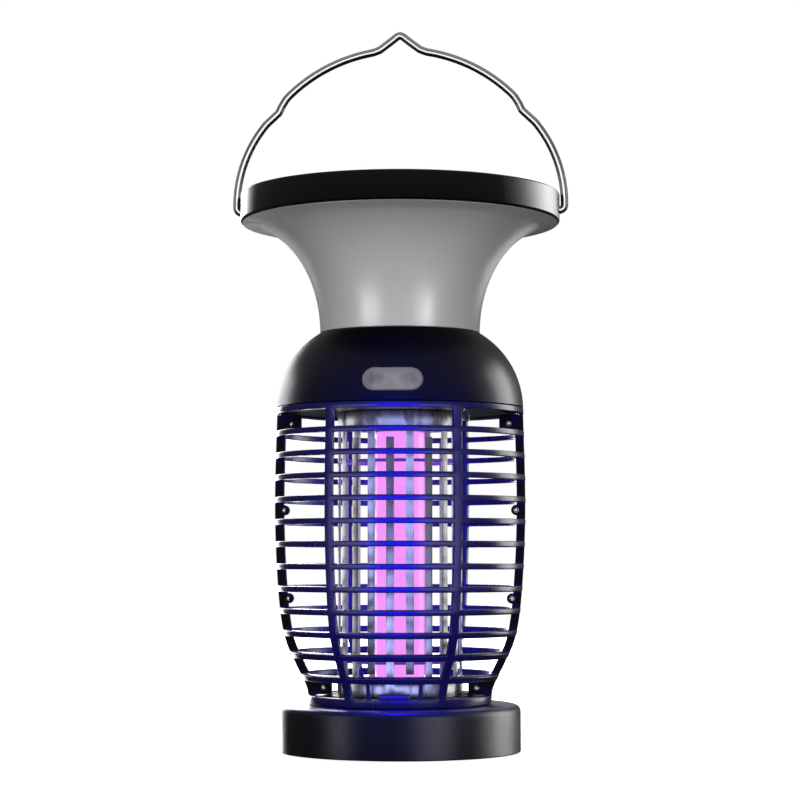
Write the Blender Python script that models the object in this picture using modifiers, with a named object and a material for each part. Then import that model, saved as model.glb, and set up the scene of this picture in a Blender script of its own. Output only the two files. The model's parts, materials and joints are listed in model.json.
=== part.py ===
"""Cordless lantern bug zapper.

A wire bail, solar cap, trumpet diffuser, domed head, two-part cage, shock grid, UV lamp and twist-off tray.
Metres, +Z up. The origin is the middle of the base's underside. The front is towards -Y.
The bail turns about an axis along X.
"""

import math

import bmesh
import bpy
from mathutils import Matrix, Vector

MM = 0.001
GAP = 0.3 * MM  # space between neighbouring pieces
SEGMENTS = 32  # sides of the large turned pieces
FINE = 16  # sides of the middling ones
COARSE = 8  # sides of screws and pins

# Heights of the stack, from the floor up
BASE_TOP = 22.1 * MM
CAGE_BOTTOM = 22.6 * MM
RING_TOP = 26.4 * MM
CAGE_TOP = 159.3 * MM
TOP_RING_BOTTOM = 156.5 * MM
DOME_BOTTOM = 159.6 * MM
THROAT_Z = 194.4 * MM
DIFFUSER_TOP = 246.3 * MM
RIM_BOTTOM = DIFFUSER_TOP + 0.4 * MM
RIM_TOP = 260.0 * MM
PANEL_LEDGE = RIM_TOP - 2.6 * MM  # top of the rim's ledge, which carries the solar panel

# Radii of the turned shapes
BASE_R = 56.0 * MM
RIM_R = 75.0 * MM
RIM_WALL = 2.0 * MM
THROAT_R = 37.4 * MM
FLARE_R = RIM_R - 1 * MM
TOP_SPIGOT_R = RIM_R - RIM_WALL - 0.5 * MM  # the diffuser's upper spigot, inside the rim
DOME_ARC_R = 41.1 * MM  # the dome's section is this arc
DOME_ARC_X = 16.5 * MM  # distance of the arc's centre from the axis
DOME_ARC_Z = 159.1 * MM
WALL = 2.2 * MM

# Cage: hoops, ribs and the flanges that its two halves meet on
HOOPS = 12
HOOP_PITCH = 10.24 * MM
HOOP_HEIGHT = 2.6 * MM
TOP_HOOP_Z = 147.2 * MM
CAGE_WALL = 2.4 * MM
RIB_ANGLE = math.radians(30)
RIB_WIDTH = 3.8 * MM
FLANGE_DEPTH = 4.2 * MM
FLANGE_WALL = 2.2 * MM
EAR_R = 2.4 * MM
TABS = [  # two corners of each flange tab, as (x, z) in millimetres
    ((46.4, 148.4), (56.2, 156.3)),
    ((31.8, 26.6), (41.2, 33.4)),
]
SCREW_PLACES = [  # x and z in millimetres; those in the middle sit on round ears
    (50.9, 152.2), (54.2, 111.9), (52.1, 70.9), (35.6, 29.7),
]
EAR_SCREWS = (1, 2)
CAGE_OUTLINE = [  # radius and height, in millimetres, on the cage's outside
    (42.3, 22.6), (43.5, 30.0), (48.8, 41.0), (53.7, 52.4), (56.8, 73.0), (58.6, 112.0), (57.7, 159.3),
]

# Shock grid and lamp
GRID_R = 29.1 * MM
GRID_SHEET = 0.8 * MM
FINGERS = 10  # on each of the two combs
FINGER_WIDTH = 3.65 * MM
GRID_TURN = math.radians(3.5)
UPPER_BAND = (157.0 * MM, 149.5 * MM)
LOWER_BAND = (32.8 * MM, 26.4 * MM)
UPPER_TIPS = 37.1 * MM
LOWER_TIPS = 144.8 * MM
LAMP_R = 11.4 * MM
LAMP_SPAN = (34.3 * MM, 148.0 * MM)
CAP_R = 12.0 * MM

# Bail
WIRE_R = 1.8 * MM
PIVOT_Z = 252.4 * MM
PIVOT_X = RIM_R + WIRE_R + 0.5 * MM
PIN_END = 67.5 * MM
BEND_R = 2.5 * MM  # where the wire turns in to its pins
PEAK = [(0, 336.4), (1.4, 335.9), (2.8, 334.7), (9.5, 329.6)]  # x and z in millimetres, from the middle out
JOG = [(54.0, 306.6), (56.2, 303.0), (57.5, 300.1), (60.5, 297.3)]

# Button and charging port, each on the dome at this height
BUTTON_Z = 169.4 * MM
BUTTON_WIDTH = 27.5 * MM
BUTTON_HEIGHT = 11.1 * MM
PORT_Z = 168.0 * MM
PORT_WIDTH = 18.3 * MM
PORT_HEIGHT = 9.8 * MM
PORT_CORNER = 1.6 * MM
SKIN_PROUD = 0.1 * MM  # how far the cap and cover stand out of the dome

# Chassis plate, and the dome's bosses that it is screwed to
PLATE_BOTTOM = 157.3 * MM
PLATE_TOP = 159.8 * MM
BOSS_R = 3.4 * MM
BOSS_TOP = 182.5 * MM
BOSS_CIRCLE = 46.0 * MM
BOSS_ANGLES = [math.radians(a) for a in (50, 130, 230, 310)]
COLLAR_R = GRID_R - GRID_SHEET - GAP  # the plate's collar and the lower hub fit inside the combs

# Boards and cells in the dome
BOARD = 1.6 * MM
BOARD_Z = 163.0 * MM
CELL_R = 9.2 * MM
CELL_HALF = 32.5 * MM
CELL_Y = 9.6 * MM
CELL_Z = 176.0 * MM

# Neck, bayonet and tray
NECK_IN = 35.5 * MM
NECK_R = 37.3 * MM
NECK_BOTTOM = 14.0 * MM
NECK_FLANGE_R = 39.5 * MM
NECK_TOP = RING_TOP - 0.4 * MM
HUB_BOTTOM = 22.8 * MM
HUB_TOP = 31.0 * MM
MOUTH_R = 38.0 * MM
LUG_R = 39.6 * MM
LUG_HALF = 4.7 * MM
LUG_Z = (16.9 * MM, 19.5 * MM)
LUG_TURN = math.radians(30)
STOP_TURN = math.radians(11.2)  # from a lug's middle to the stop's, when they touch
BASE_CORNER = 3.6 * MM
FOOT_R = 6.0 * MM
FOOT_HEIGHT = 1.6 * MM
FOOT_CIRCLE = 42.0 * MM

# Screws
SCREW_R = 0.85 * MM
SCREW_HEAD_R = 2.0 * MM
SCREW_HEAD = 1.3 * MM
SCREW_HOLE_R = 1.15 * MM

# Finishes: colour, roughness, metallic
BLACK = ((0.012, 0.012, 0.016), 0.45, 0.0)
GLOSS_BLACK = ((0.008, 0.008, 0.009), 0.18, 0.0)
MILKY = ((0.62, 0.62, 0.63), 0.35, 0.0)
GREY_LENS = ((0.30, 0.29, 0.35), 0.4, 0.0)
STEEL = ((0.72, 0.72, 0.74), 0.22, 1.0)
PURPLE_LAMP = ((0.85, 0.30, 0.95), 0.2, 0.0)
WHITE = ((0.80, 0.80, 0.80), 0.5, 0.0)
GREEN_BOARD = ((0.02, 0.16, 0.07), 0.5, 0.0)
RUBBER = ((0.02, 0.02, 0.02), 0.85, 0.0)
BLUE_WRAP = ((0.03, 0.12, 0.45), 0.4, 0.0)
SOLAR = ((0.01, 0.015, 0.05), 0.3, 0.2)
GLASS = ((0.05, 0.06, 0.08), 0.06, 0.0)


# ---- helpers ----

def clear_scene():
    for obj in list(bpy.data.objects):
        bpy.data.objects.remove(obj, do_unlink=True)


def new_collection(name):
    collection = bpy.data.collections.new(name)
    bpy.context.scene.collection.children.link(collection)
    return collection


def material(name, finish):
    colour, roughness, metallic = finish
    made = bpy.data.materials.new(name)
    made.use_nodes = True
    shader = made.node_tree.nodes["Principled BSDF"]
    shader.inputs["Base Color"].default_value = (*colour, 1.0)
    shader.inputs["Roughness"].default_value = roughness
    shader.inputs["Metallic"].default_value = metallic
    return made


def add(name, mesh, finish=None, parent=None):
    """An object of the model, or a hidden helper for a Boolean when it has no finish."""
    obj = bpy.data.objects.new(name, mesh)
    if finish is None:
        HELPERS.objects.link(obj)
        obj.hide_render = True
        obj.display_type = "WIRE"
    else:
        PARTS.objects.link(obj)
        mesh.materials.clear()
        mesh.materials.append(material(name, finish))
    obj.parent = parent
    return obj


def mesh_from(name, bm):
    mesh = bpy.data.meshes.new(name)
    bmesh.ops.recalc_face_normals(bm, faces=bm.faces)
    if bm.calc_volume(signed=True) < 0:
        bmesh.ops.reverse_faces(bm, faces=bm.faces)
    bm.to_mesh(mesh)
    bm.free()
    return mesh


def turned(name, profile, finish=None, segments=SEGMENTS, parent=None):
    """A profile of (radius, height) that runs down its outer side, turned about Z.

    A profile that starts on the axis stays open; any other is closed.
    """
    mesh = bpy.data.meshes.new(name)
    on_axis = profile[0][0] == 0
    edges = [(i, i + 1) for i in range(len(profile) - 1)]
    if not on_axis:
        edges.append((len(profile) - 1, 0))
    mesh.from_pydata([(r, 0, z) for r, z in profile], edges, [])
    obj = add(name, mesh, finish, parent)
    screw = obj.modifiers.new("turn", "SCREW")
    screw.steps = segments
    screw.render_steps = segments
    screw.use_merge_vertices = True
    screw.merge_threshold = 0.00001
    return obj


def ring(name, r_in, r_out, z_low, z_high, finish=None, segments=SEGMENTS, parent=None):
    profile = [(r_in, z_high), (r_out, z_high), (r_out, z_low), (r_in, z_low)]
    return turned(name, profile, finish, segments, parent)


def disc(name, radius, z_low, z_high, finish=None, segments=SEGMENTS, parent=None):
    profile = [(0, z_high), (radius, z_high), (radius, z_low), (0, z_low)]
    return turned(name, profile, finish, segments, parent)


def box(name, low, high, finish=None, turn=0.0, parent=None):
    """A box between two corners, turned about the Z axis of its frame."""
    bm = bmesh.new()
    bmesh.ops.create_cube(bm, size=1.0)
    size = Matrix.Diagonal((*(b - a for a, b in zip(low, high)), 1.0))
    middle = Matrix.Translation([(a + b) / 2 for a, b in zip(low, high)])
    bm.transform(Matrix.Rotation(turn, 4, "Z") @ middle @ size)
    return add(name, mesh_from(name, bm), finish, parent)


def rod(name, start, end, radius, finish=None, segments=COARSE, parent=None):
    """A cylinder from one point to another."""
    start, end = Vector(start), Vector(end)
    bm = bmesh.new()
    bmesh.ops.create_cone(bm, cap_ends=True, segments=segments, radius1=radius, radius2=radius,
                          depth=(end - start).length)
    tilt = Vector((0, 0, 1)).rotation_difference(end - start).to_matrix().to_4x4()
    bm.transform(Matrix.Translation((start + end) / 2) @ tilt)
    return add(name, mesh_from(name, bm), finish, parent)


def mesh_of_curve(name, curve, matrix, finish, parent=None):
    """The curve's solid as a mesh with welded caps."""
    source = bpy.data.objects.new(name + "_curve", curve)
    HELPERS.objects.link(source)
    source.matrix_world = matrix
    graph = bpy.context.evaluated_depsgraph_get()
    mesh = bpy.data.meshes.new_from_object(source.evaluated_get(graph))
    mesh.transform(matrix)
    bm = bmesh.new()
    bm.from_mesh(mesh)
    bmesh.ops.remove_doubles(bm, verts=bm.verts, dist=0.00001)
    bpy.data.objects.remove(source)
    bpy.data.meshes.remove(mesh)
    return add(name, mesh_from(name, bm), finish, parent)


def plate(name, outline, y_low, y_high, finish=None, parent=None):
    """A flat outline of (x, z) points with its thickness along Y."""
    curve = bpy.data.curves.new(name, "CURVE")
    curve.dimensions = "2D"
    curve.fill_mode = "BOTH"
    curve.extrude = (y_high - y_low) / 2
    spline = curve.splines.new("POLY")
    spline.points.add(len(outline) - 1)
    for point, (x, z) in zip(spline.points, outline):
        point.co = (x, z, 0, 1)
    spline.use_cyclic_u = True
    stand = Matrix.Translation((0, (y_low + y_high) / 2, 0)) @ Matrix.Rotation(math.pi / 2, 4, "X")
    return mesh_of_curve(name, curve, stand, finish, parent)


def boolean(target, operation, helpers):
    for helper in helpers:
        modifier = target.modifiers.new(helper.name, "BOOLEAN")
        modifier.operation = operation
        modifier.solver = "EXACT"
        modifier.object = helper


def cut(target, *helpers):
    boolean(target, "DIFFERENCE", helpers)


def join(target, *helpers):
    boolean(target, "UNION", helpers)


def keep_inside(target, *helpers):
    boolean(target, "INTERSECT", helpers)


def arc(centre, radius, start, end, steps):
    """Points on an arc, from one angle in degrees to another."""
    angles = [math.radians(start + (end - start) * i / steps) for i in range(steps + 1)]
    return [(centre[0] + radius * math.cos(a), centre[1] + radius * math.sin(a)) for a in angles]


def pill(width, height, steps=6):
    """Outline of a bar with half-round ends."""
    reach = (width - height) / 2
    right = arc((reach, 0), height / 2, -90, 90, steps)
    left = arc((-reach, 0), height / 2, 90, 270, steps)
    return right + left


def rounded(width, height, radius, steps=3):
    """Outline of a rectangle with round corners."""
    x, z = width / 2 - radius, height / 2 - radius
    corners = [(x, -z, -90), (x, z, 0), (-x, z, 90), (-x, -z, 180)]
    points = []
    for corner_x, corner_z, start in corners:
        points += arc((corner_x, corner_z), radius, start, start + 90, steps)
    return points


def cage_radius(z):
    """Radius of the cage's outside at a height: a smooth curve through its outline."""
    points = [(r * MM, height * MM) for r, height in CAGE_OUTLINE]
    slopes = [0.0] * len(points)
    for i in range(len(points)):
        before, after = points[max(i - 1, 0)], points[min(i + 1, len(points) - 1)]
        slopes[i] = (after[0] - before[0]) / (after[1] - before[1])
    i = max(k for k in range(len(points) - 1) if k == 0 or points[k][1] <= z)
    (r0, z0), (r1, z1) = points[i], points[i + 1]
    span = z1 - z0
    t = (z - z0) / span
    return ((2 * t**3 - 3 * t**2 + 1) * r0 + (t**3 - 2 * t**2 + t) * span * slopes[i]
            + (3 * t**2 - 2 * t**3) * r1 + (t**3 - t**2) * span * slopes[i + 1])


def dome_arc(offset, top_z, bottom_z, steps):
    """The dome's section, moved outwards by an offset, from one height down to another."""
    radius = DOME_ARC_R + offset
    angles = [math.degrees(math.asin((z - DOME_ARC_Z) / radius)) for z in (top_z, bottom_z)]
    return arc((DOME_ARC_X, DOME_ARC_Z), radius, angles[0], angles[1], steps)


def dome_frame(name, z, turn):
    """An empty on the dome's skin whose -Y axis points straight out of it."""
    lean = math.asin((z - DOME_ARC_Z) / DOME_ARC_R)
    radius = DOME_ARC_X + DOME_ARC_R * math.cos(lean)
    empty = bpy.data.objects.new(name, None)
    HELPERS.objects.link(empty)
    empty.location = (radius * math.sin(turn), -radius * math.cos(turn), z)
    empty.rotation_euler = (-lean, 0, turn)
    return empty


def around(count, start=0.0):
    return [start + 2 * math.pi * i / count for i in range(count)]


def polar(radius, angle, z):
    return (radius * math.cos(angle), radius * math.sin(angle), z)


# ---- cap and lantern ----

def make_rim_band():
    lip = 0.6 * MM
    inner, ledge_r = RIM_R - RIM_WALL, 66.0 * MM
    ledge_low = PANEL_LEDGE - 1.2 * MM
    profile = [
        (inner, RIM_TOP), (RIM_R - lip, RIM_TOP), (RIM_R, RIM_TOP - lip), (RIM_R, RIM_BOTTOM + lip),
        (RIM_R - lip, RIM_BOTTOM), (inner, RIM_BOTTOM), (inner, ledge_low), (ledge_r, ledge_low),
        (ledge_r, PANEL_LEDGE), (inner, PANEL_LEDGE),
    ]
    rim = turned("rim_band", profile, GLOSS_BLACK)
    for side in (-1, 1):
        start = (side * (inner - 5 * MM), 0, PIVOT_Z)
        end = (side * (RIM_R + 5 * MM), 0, PIVOT_Z)
        cut(rim, rod(f"rim_hole_{side}", start, end, WIRE_R + GAP, segments=FINE))


def make_solar_panel():
    """Cells in a thin frame inside the ledge, under a glass that rests on a gasket."""
    cells_r, glass_r = 64.0 * MM, RIM_R - RIM_WALL - 0.8 * MM
    cells_low, cells_high = PANEL_LEDGE - 0.8 * MM, PANEL_LEDGE + 0.6 * MM
    glass_low, glass_high = cells_high + GAP, RIM_TOP - 0.4 * MM
    disc("solar_glass", glass_r, glass_low, glass_high, GLASS)
    ring("panel_gasket", 66.5 * MM, 71.0 * MM, PANEL_LEDGE + GAP, glass_low - 0.25 * MM, RUBBER, FINE)
    disc("solar_cells", cells_r, cells_low, cells_high, SOLAR, FINE)
    ring("panel_frame", cells_r + GAP, cells_r + 1.6 * MM, cells_low - 0.4 * MM, cells_high, BLACK, FINE)


def diffuser_flank(offset, first, last):
    """Points on the trumpet's quarter ellipse, moved inwards by an offset, between two of its angles."""
    steps = 6
    rise, flare = DIFFUSER_TOP - THROAT_Z, RIM_R - THROAT_R
    points = []
    for i in range(steps + 1):
        t = math.radians(first + (last - first) * i / steps)
        along = Vector((flare * math.sin(t), rise * math.cos(t))).normalized()
        r = THROAT_R + flare * (1 - math.cos(t)) - offset * along.y
        z = THROAT_Z + rise * math.sin(t) + offset * along.x
        points.append((r, z))
    return points


def make_diffuser():
    """A quarter ellipse from the throat out to the rim, with a spigot at each end."""
    spigot_r, spigot_in, spigot_low = 35.4 * MM, 33.8 * MM, 189.0 * MM
    edge_z, top_z = DIFFUSER_TOP + 0.1 * MM, DIFFUSER_TOP + 0.9 * MM
    profile = [(TOP_SPIGOT_R - 2 * MM, top_z), (TOP_SPIGOT_R, top_z), (TOP_SPIGOT_R, edge_z)]
    profile += [(FLARE_R, edge_z), (FLARE_R, DIFFUSER_TOP - 0.4 * MM)]
    profile += diffuser_flank(0, 76, 0)[:-1]
    profile += [(THROAT_R, THROAT_Z + GAP), (spigot_r, THROAT_Z + GAP), (spigot_r, spigot_low)]
    profile += [(spigot_in, spigot_low), (spigot_in, THROAT_Z)]
    turned("diffuser", profile + diffuser_flank(2 * MM, 4, 66), MILKY)
    reflector_low = top_z + GAP
    disc("reflector_disc", TOP_SPIGOT_R - GAP, reflector_low, reflector_low + 1.2 * MM, WHITE)
    disc("led_board", 22.0 * MM, reflector_low - GAP - 1.5 * MM, reflector_low - GAP, WHITE, FINE)


# ---- bail ----

def bail_side():
    """Centre line of the bail's +X half, from the peak down to the pin, as (x, z)."""
    peak, jog = ([(x * MM, z * MM) for x, z in points] for points in (PEAK, JOG))
    upper = arc((0, 254.0 * MM), 75.5 * MM, 80.4, 46.5, 6)
    lower_r = 60.4 * MM
    lower = arc((PIVOT_X - lower_r, PIVOT_Z + 3.7 * MM), lower_r, 39.4, 0, 6)
    turn_in = arc((PIVOT_X - BEND_R, PIVOT_Z + BEND_R), BEND_R, 0, -90, 3)
    return peak + upper + jog + lower + turn_in + [(PIN_END, PIVOT_Z)]


def make_handle():
    side = bail_side()
    route = [(-x, z) for x, z in reversed(side[1:])] + side
    curve = bpy.data.curves.new("handle", "CURVE")
    curve.dimensions = "3D"
    curve.bevel_depth = WIRE_R
    curve.bevel_resolution = 2
    curve.use_fill_caps = True
    spline = curve.splines.new("POLY")
    spline.points.add(len(route) - 1)
    for point, (x, z) in zip(spline.points, route):
        point.co = (x, 0, z - PIVOT_Z, 1)
    handle = mesh_of_curve("handle", curve, Matrix.Identity(4), STEEL)
    handle.location = (0, 0, PIVOT_Z)


def make_bushes():
    """Plastic collars inside the rim that the bail's pins turn in."""
    outer_end = RIM_R - RIM_WALL - 0.5 * MM
    inner_end = outer_end - 3.6 * MM
    for side, word in ((-1, "left"), (1, "right")):
        bush = rod(f"handle_bush_{word}", (side * inner_end, 0, PIVOT_Z), (side * outer_end, 0, PIVOT_Z),
                   3.4 * MM, BLACK, FINE)
        bore = rod(f"bush_bore_{word}", (side * (inner_end - 5 * MM), 0, PIVOT_Z),
                   (side * (outer_end + 5 * MM), 0, PIVOT_Z), WIRE_R + GAP, segments=FINE)
        cut(bush, bore)


# ---- head ----

def dome_block():
    """A solid a little proud of the dome's skin, which trims the button and the port cover."""
    low, high = DOME_BOTTOM + 0.4 * MM, THROAT_Z - 1.4 * MM
    skin = dome_arc(SKIN_PROUD, high, low, 8)
    return turned("dome_block", [(0, high)] + skin + [(0, low)])


def make_upper_housing(button_frame, port_frame):
    outer = dome_arc(0, THROAT_Z, DOME_BOTTOM, 7)
    inner = dome_arc(-WALL, THROAT_Z - 3 * MM, DOME_BOTTOM, 5)
    mouth = 35.9 * MM
    top = [(mouth, THROAT_Z), (outer[0][0], THROAT_Z)]
    dome = turned("upper_housing", top + outer[1:] + inner[::-1] + [(mouth, inner[0][1])], BLACK)

    for i, angle in enumerate(BOSS_ANGLES):
        x, y, _ = polar(BOSS_CIRCLE, angle, 0)
        boss = rod(f"boss_{i}", (x, y, PLATE_TOP + 0.5 * MM), (x, y, BOSS_TOP), BOSS_R)
        hole = rod(f"boss_hole_{i}", (x, y, PLATE_TOP - 1 * MM), (x, y, BOSS_TOP - 10.5 * MM), SCREW_HOLE_R)
        join(dome, boss)
        cut(dome, hole)

    cover_gap, recess_depth, block_depth = 0.5 * MM, 2.4 * MM, 6.0 * MM
    block_x, block_z = PORT_WIDTH / 2 + 2.35 * MM, PORT_HEIGHT / 2 + 2 * MM
    join(dome, box("port_block", (-block_x, 1 * MM, -block_z), (block_x, block_depth, block_z),
                   parent=port_frame))
    recess = rounded(PORT_WIDTH + 2 * cover_gap, PORT_HEIGHT + 2 * cover_gap, PORT_CORNER + 0.4 * MM)
    cut(dome, plate("port_recess", recess, -4 * MM, recess_depth, parent=port_frame))
    socket_x, socket_z = 4.8 * MM, 1.95 * MM
    cut(dome, box("socket_hole", (-socket_x, 1 * MM, -socket_z), (socket_x, 8 * MM, socket_z),
                  parent=port_frame))

    slot_gap = 0.35 * MM
    slot = pill(BUTTON_WIDTH + 2 * slot_gap, BUTTON_HEIGHT + 2 * slot_gap)
    cut(dome, plate("button_slot", slot, -4 * MM, 7 * MM, parent=button_frame))


def make_button(frame, block):
    """The cap, its switch and the small board behind, in a frame whose +Y axis runs into the dome."""
    cap_back, skirt_back, stem_end = 5.0 * MM, 6.1 * MM, 7.5 * MM
    switch_front, switch_back, switch_half = 9.3 * MM, 12.9 * MM, 3.0 * MM
    plunger_r, plunger_end = 1.5 * MM, 11.0 * MM
    bite = 0.05 * MM  # overlap between joined solids

    cap = plate("button_cap", pill(BUTTON_WIDTH, BUTTON_HEIGHT), -3 * MM, cap_back, GREY_LENS, frame)
    keep_inside(cap, block)
    skirt = plate("button_skirt", pill(BUTTON_WIDTH + 2.4 * MM, BUTTON_HEIGHT + 2.4 * MM),
                  cap_back - bite, skirt_back, parent=frame)
    stem = rod("button_stem", (0, cap_back + 0.5 * MM, 0), (0, stem_end, 0), 2 * MM, parent=frame)
    join(cap, skirt, stem)

    rod("switch_plunger", (0, stem_end + GAP, 0), (0, plunger_end, 0), plunger_r, WHITE, parent=frame)
    switch = box("tact_switch", (-switch_half, switch_front, -switch_half),
                 (switch_half, switch_back, switch_half), BLACK, parent=frame)
    bore = rod("switch_bore", (0, 8 * MM, 0), (0, plunger_end + 1.4 * MM, 0), plunger_r + GAP, parent=frame)
    cut(switch, bore)
    board_front = switch_back + GAP
    box("button_board", (-15 * MM, board_front, -5 * MM), (15 * MM, board_front + BOARD, 5 * MM),
        GREEN_BOARD, parent=frame)


def make_port(frame, block):
    """The charging socket, its board, and a rubber cover hinged on its top edge."""
    hinge = bpy.data.objects.new("port_hinge", None)
    HELPERS.objects.link(hinge)
    hinge.parent = frame
    hinge.location = (0, GAP, PORT_HEIGHT / 2)
    outline = [(x, z - PORT_HEIGHT / 2) for x, z in rounded(PORT_WIDTH, PORT_HEIGHT, PORT_CORNER)]
    cover = plate("port_cover", outline, -2 * MM, 1.8 * MM, RUBBER, hinge)
    keep_inside(cover, block)

    width, height, sheet = 8.9 * MM, 3.2 * MM, 0.4 * MM
    front, back = 2.8 * MM, 9.8 * MM
    shell = plate("usb_socket", rounded(width, height, 1.5 * MM), front, back, STEEL, frame)
    mouth = rounded(width - 2 * sheet, height - 2 * sheet, 1.1 * MM)
    cut(shell, plate("socket_mouth", mouth, 1 * MM, back - 1.2 * MM, parent=frame))
    board_front = back + GAP
    box("charge_board", (-9 * MM, board_front, -5 * MM), (9 * MM, board_front + BOARD, 5 * MM),
        GREEN_BOARD, parent=frame)


def screw_profile(length):
    """A pan-head screw that points up, with the underside of its head at 0."""
    tip = 1.2 * MM
    return [(0, length), (SCREW_R * 0.5, length), (SCREW_R, length - tip), (SCREW_R, 0), (SCREW_HEAD_R, 0),
            (SCREW_HEAD_R, -SCREW_HEAD * 0.6), (SCREW_HEAD_R * 0.6, -SCREW_HEAD), (0, -SCREW_HEAD)]


def make_chassis():
    """The plate under the dome: it hangs the cage by its lip, and its collar centres the upper comb."""
    edge_r, lip_r, rim_r = 52.6 * MM, 54.1 * MM, 50.0 * MM
    lip_high, lip_low, collar_low = 157.7 * MM, 156.6 * MM, 151.5 * MM
    collar_in = COLLAR_R - 2 * MM
    profile = [
        (0, PLATE_TOP), (edge_r, PLATE_TOP), (edge_r, lip_high), (lip_r, lip_high), (lip_r, lip_low),
        (rim_r, lip_low), (rim_r, PLATE_BOTTOM), (COLLAR_R, PLATE_BOTTOM), (COLLAR_R, collar_low),
        (collar_in, collar_low), (collar_in, PLATE_BOTTOM), (0, PLATE_BOTTOM),
    ]
    chassis = turned("chassis_plate", profile, BLACK)
    for i, angle in enumerate(BOSS_ANGLES):
        x, y, _ = polar(BOSS_CIRCLE, angle, 0)
        below, above = PLATE_BOTTOM - 7 * MM, PLATE_TOP + 7 * MM
        cut(chassis, rod(f"plate_hole_{i}", (x, y, below), (x, y, above), SCREW_HOLE_R))
        screw = turned(f"chassis_screw_{i + 1}", screw_profile(12 * MM), STEEL, COARSE)
        screw.location = (x, y, PLATE_BOTTOM - GAP)


def make_electronics():
    """The main board over the chassis plate, with the transformer and the two cells standing on it."""
    floor_z = BOARD_Z + BOARD + GAP
    disc("main_board", 40.0 * MM, BOARD_Z, BOARD_Z + BOARD, GREEN_BOARD, FINE)
    box("hv_transformer", (-9 * MM, 22 * MM, floor_z), (9 * MM, 37 * MM, 178 * MM), BLACK)

    holder_x, holder_y = CELL_HALF + 2.5 * MM, CELL_Y + CELL_R + 1.7 * MM
    holder = box("battery_holder", (-holder_x, -holder_y, floor_z), (holder_x, holder_y, CELL_Z), BLACK)
    nest = CELL_HALF + 0.5 * MM
    for i, y in enumerate((-CELL_Y, CELL_Y)):
        rod(f"battery_cell_{i + 1}", (-CELL_HALF, y, CELL_Z), (CELL_HALF, y, CELL_Z), CELL_R, BLUE_WRAP, FINE)
        cut(holder, rod(f"nest_{i}", (-nest, y, CELL_Z), (nest, y, CELL_Z), CELL_R + GAP, segments=FINE))


# ---- shock grid and lamp ----

def make_comb(name, band, tips, turn):
    """A ring-shaped band with fingers: an open sheet with its thickness added inwards."""
    gap_columns = 3
    finger = FINGER_WIDTH / GRID_R
    step = (2 * math.pi / FINGERS - finger) / gap_columns
    angles = []
    for centre in around(FINGERS, turn):
        angles += [centre - finger / 2 + (finger if i else 0) + max(i - 1, 0) * step
                   for i in range(gap_columns + 1)]
    heights = (band[0], band[1], tips) if tips < band[1] else (band[1], band[0], tips)
    bm = bmesh.new()
    rows = [[bm.verts.new(polar(GRID_R, a, z)) for a in angles] for z in heights]
    count = len(angles)
    columns = gap_columns + 1
    for i in range(count):
        j = (i + 1) % count
        bm.faces.new((rows[0][i], rows[1][i], rows[1][j], rows[0][j]))
        if i % columns == 0:
            bm.faces.new((rows[1][i], rows[2][i], rows[2][j], rows[1][j]))
    if tips > band[1]:
        bmesh.ops.reverse_faces(bm, faces=bm.faces)
    for vert in [v for v in bm.verts if not v.link_faces]:
        bm.verts.remove(vert)
    mesh = bpy.data.meshes.new(name)
    bm.to_mesh(mesh)
    bm.free()
    comb = add(name, mesh, STEEL)
    solidify = comb.modifiers.new("sheet", "SOLIDIFY")
    solidify.thickness = GRID_SHEET
    solidify.offset = -1


def make_grid():
    half_step = math.pi / FINGERS
    start = -math.pi / 2 + GRID_TURN + half_step / 2
    make_comb("upper_grid", UPPER_BAND, UPPER_TIPS, start)
    make_comb("lower_grid", LOWER_BAND, LOWER_TIPS, start - half_step)
    for word, z in (("upper", 134.3 * MM), ("lower", 42.1 * MM)):
        ring(f"{word}_spacer_ring", 24 * MM, GRID_R - GRID_SHEET - 0.4 * MM, z - 0.7 * MM, z + 0.7 * MM,
             WHITE, FINE)
    lead_r, lead_y = 0.8 * MM, GRID_R + 1.2 * MM
    rod("lower_grid_lead", (0, lead_y, 29 * MM), (0, lead_y, PLATE_BOTTOM - GAP), lead_r, RUBBER)


def make_lamp():
    """The tube between its two end caps, the upper one in a socket under the chassis plate."""
    low, high = LAMP_SPAN
    cap_top, socket_low, socket_r = 154.5 * MM, 150.6 * MM, 14.5 * MM
    ring("uv_lamp", LAMP_R - 1 * MM, LAMP_R, low, high, PURPLE_LAMP, FINE)
    disc("lamp_cap_top", CAP_R, high + GAP, cap_top, WHITE, FINE)
    disc("lamp_cap_bottom", CAP_R, RING_TOP, low - GAP, WHITE, FINE)
    top, cup_r, seat = PLATE_BOTTOM - GAP, CAP_R + GAP, cap_top + GAP
    profile = [(0, top), (socket_r, top), (socket_r, socket_low), (cup_r, socket_low), (cup_r, seat),
               (0, seat)]
    turned("lamp_socket", profile, WHITE, FINE)


# ---- cage ----

def cage_heights():
    """Heights of the edges of the rings and hoops, from the top down."""
    heights = [CAGE_TOP, TOP_RING_BOTTOM]
    for k in range(HOOPS):
        middle = TOP_HOOP_Z - k * HOOP_PITCH
        heights += [middle + HOOP_HEIGHT / 2, middle - HOOP_HEIGHT / 2]
    return heights + [RING_TOP, CAGE_BOTTOM]


def cage_angles(radius):
    """Angles of the shell's column edges, from the front, at a radius: the ribs keep their width."""
    spans = (3, 1, 4, 1, 3)
    edge = math.pi / 2 - 0.5 * MM / radius
    rib = RIB_WIDTH / 2 / radius
    marks = [-edge, -RIB_ANGLE - rib, -RIB_ANGLE + rib, RIB_ANGLE - rib, RIB_ANGLE + rib, edge]
    angles = []
    for low, high, parts in zip(marks, marks[1:], spans):
        angles += [low + (high - low) * k / parts for k in range(parts)]
    return angles + [edge]


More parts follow.
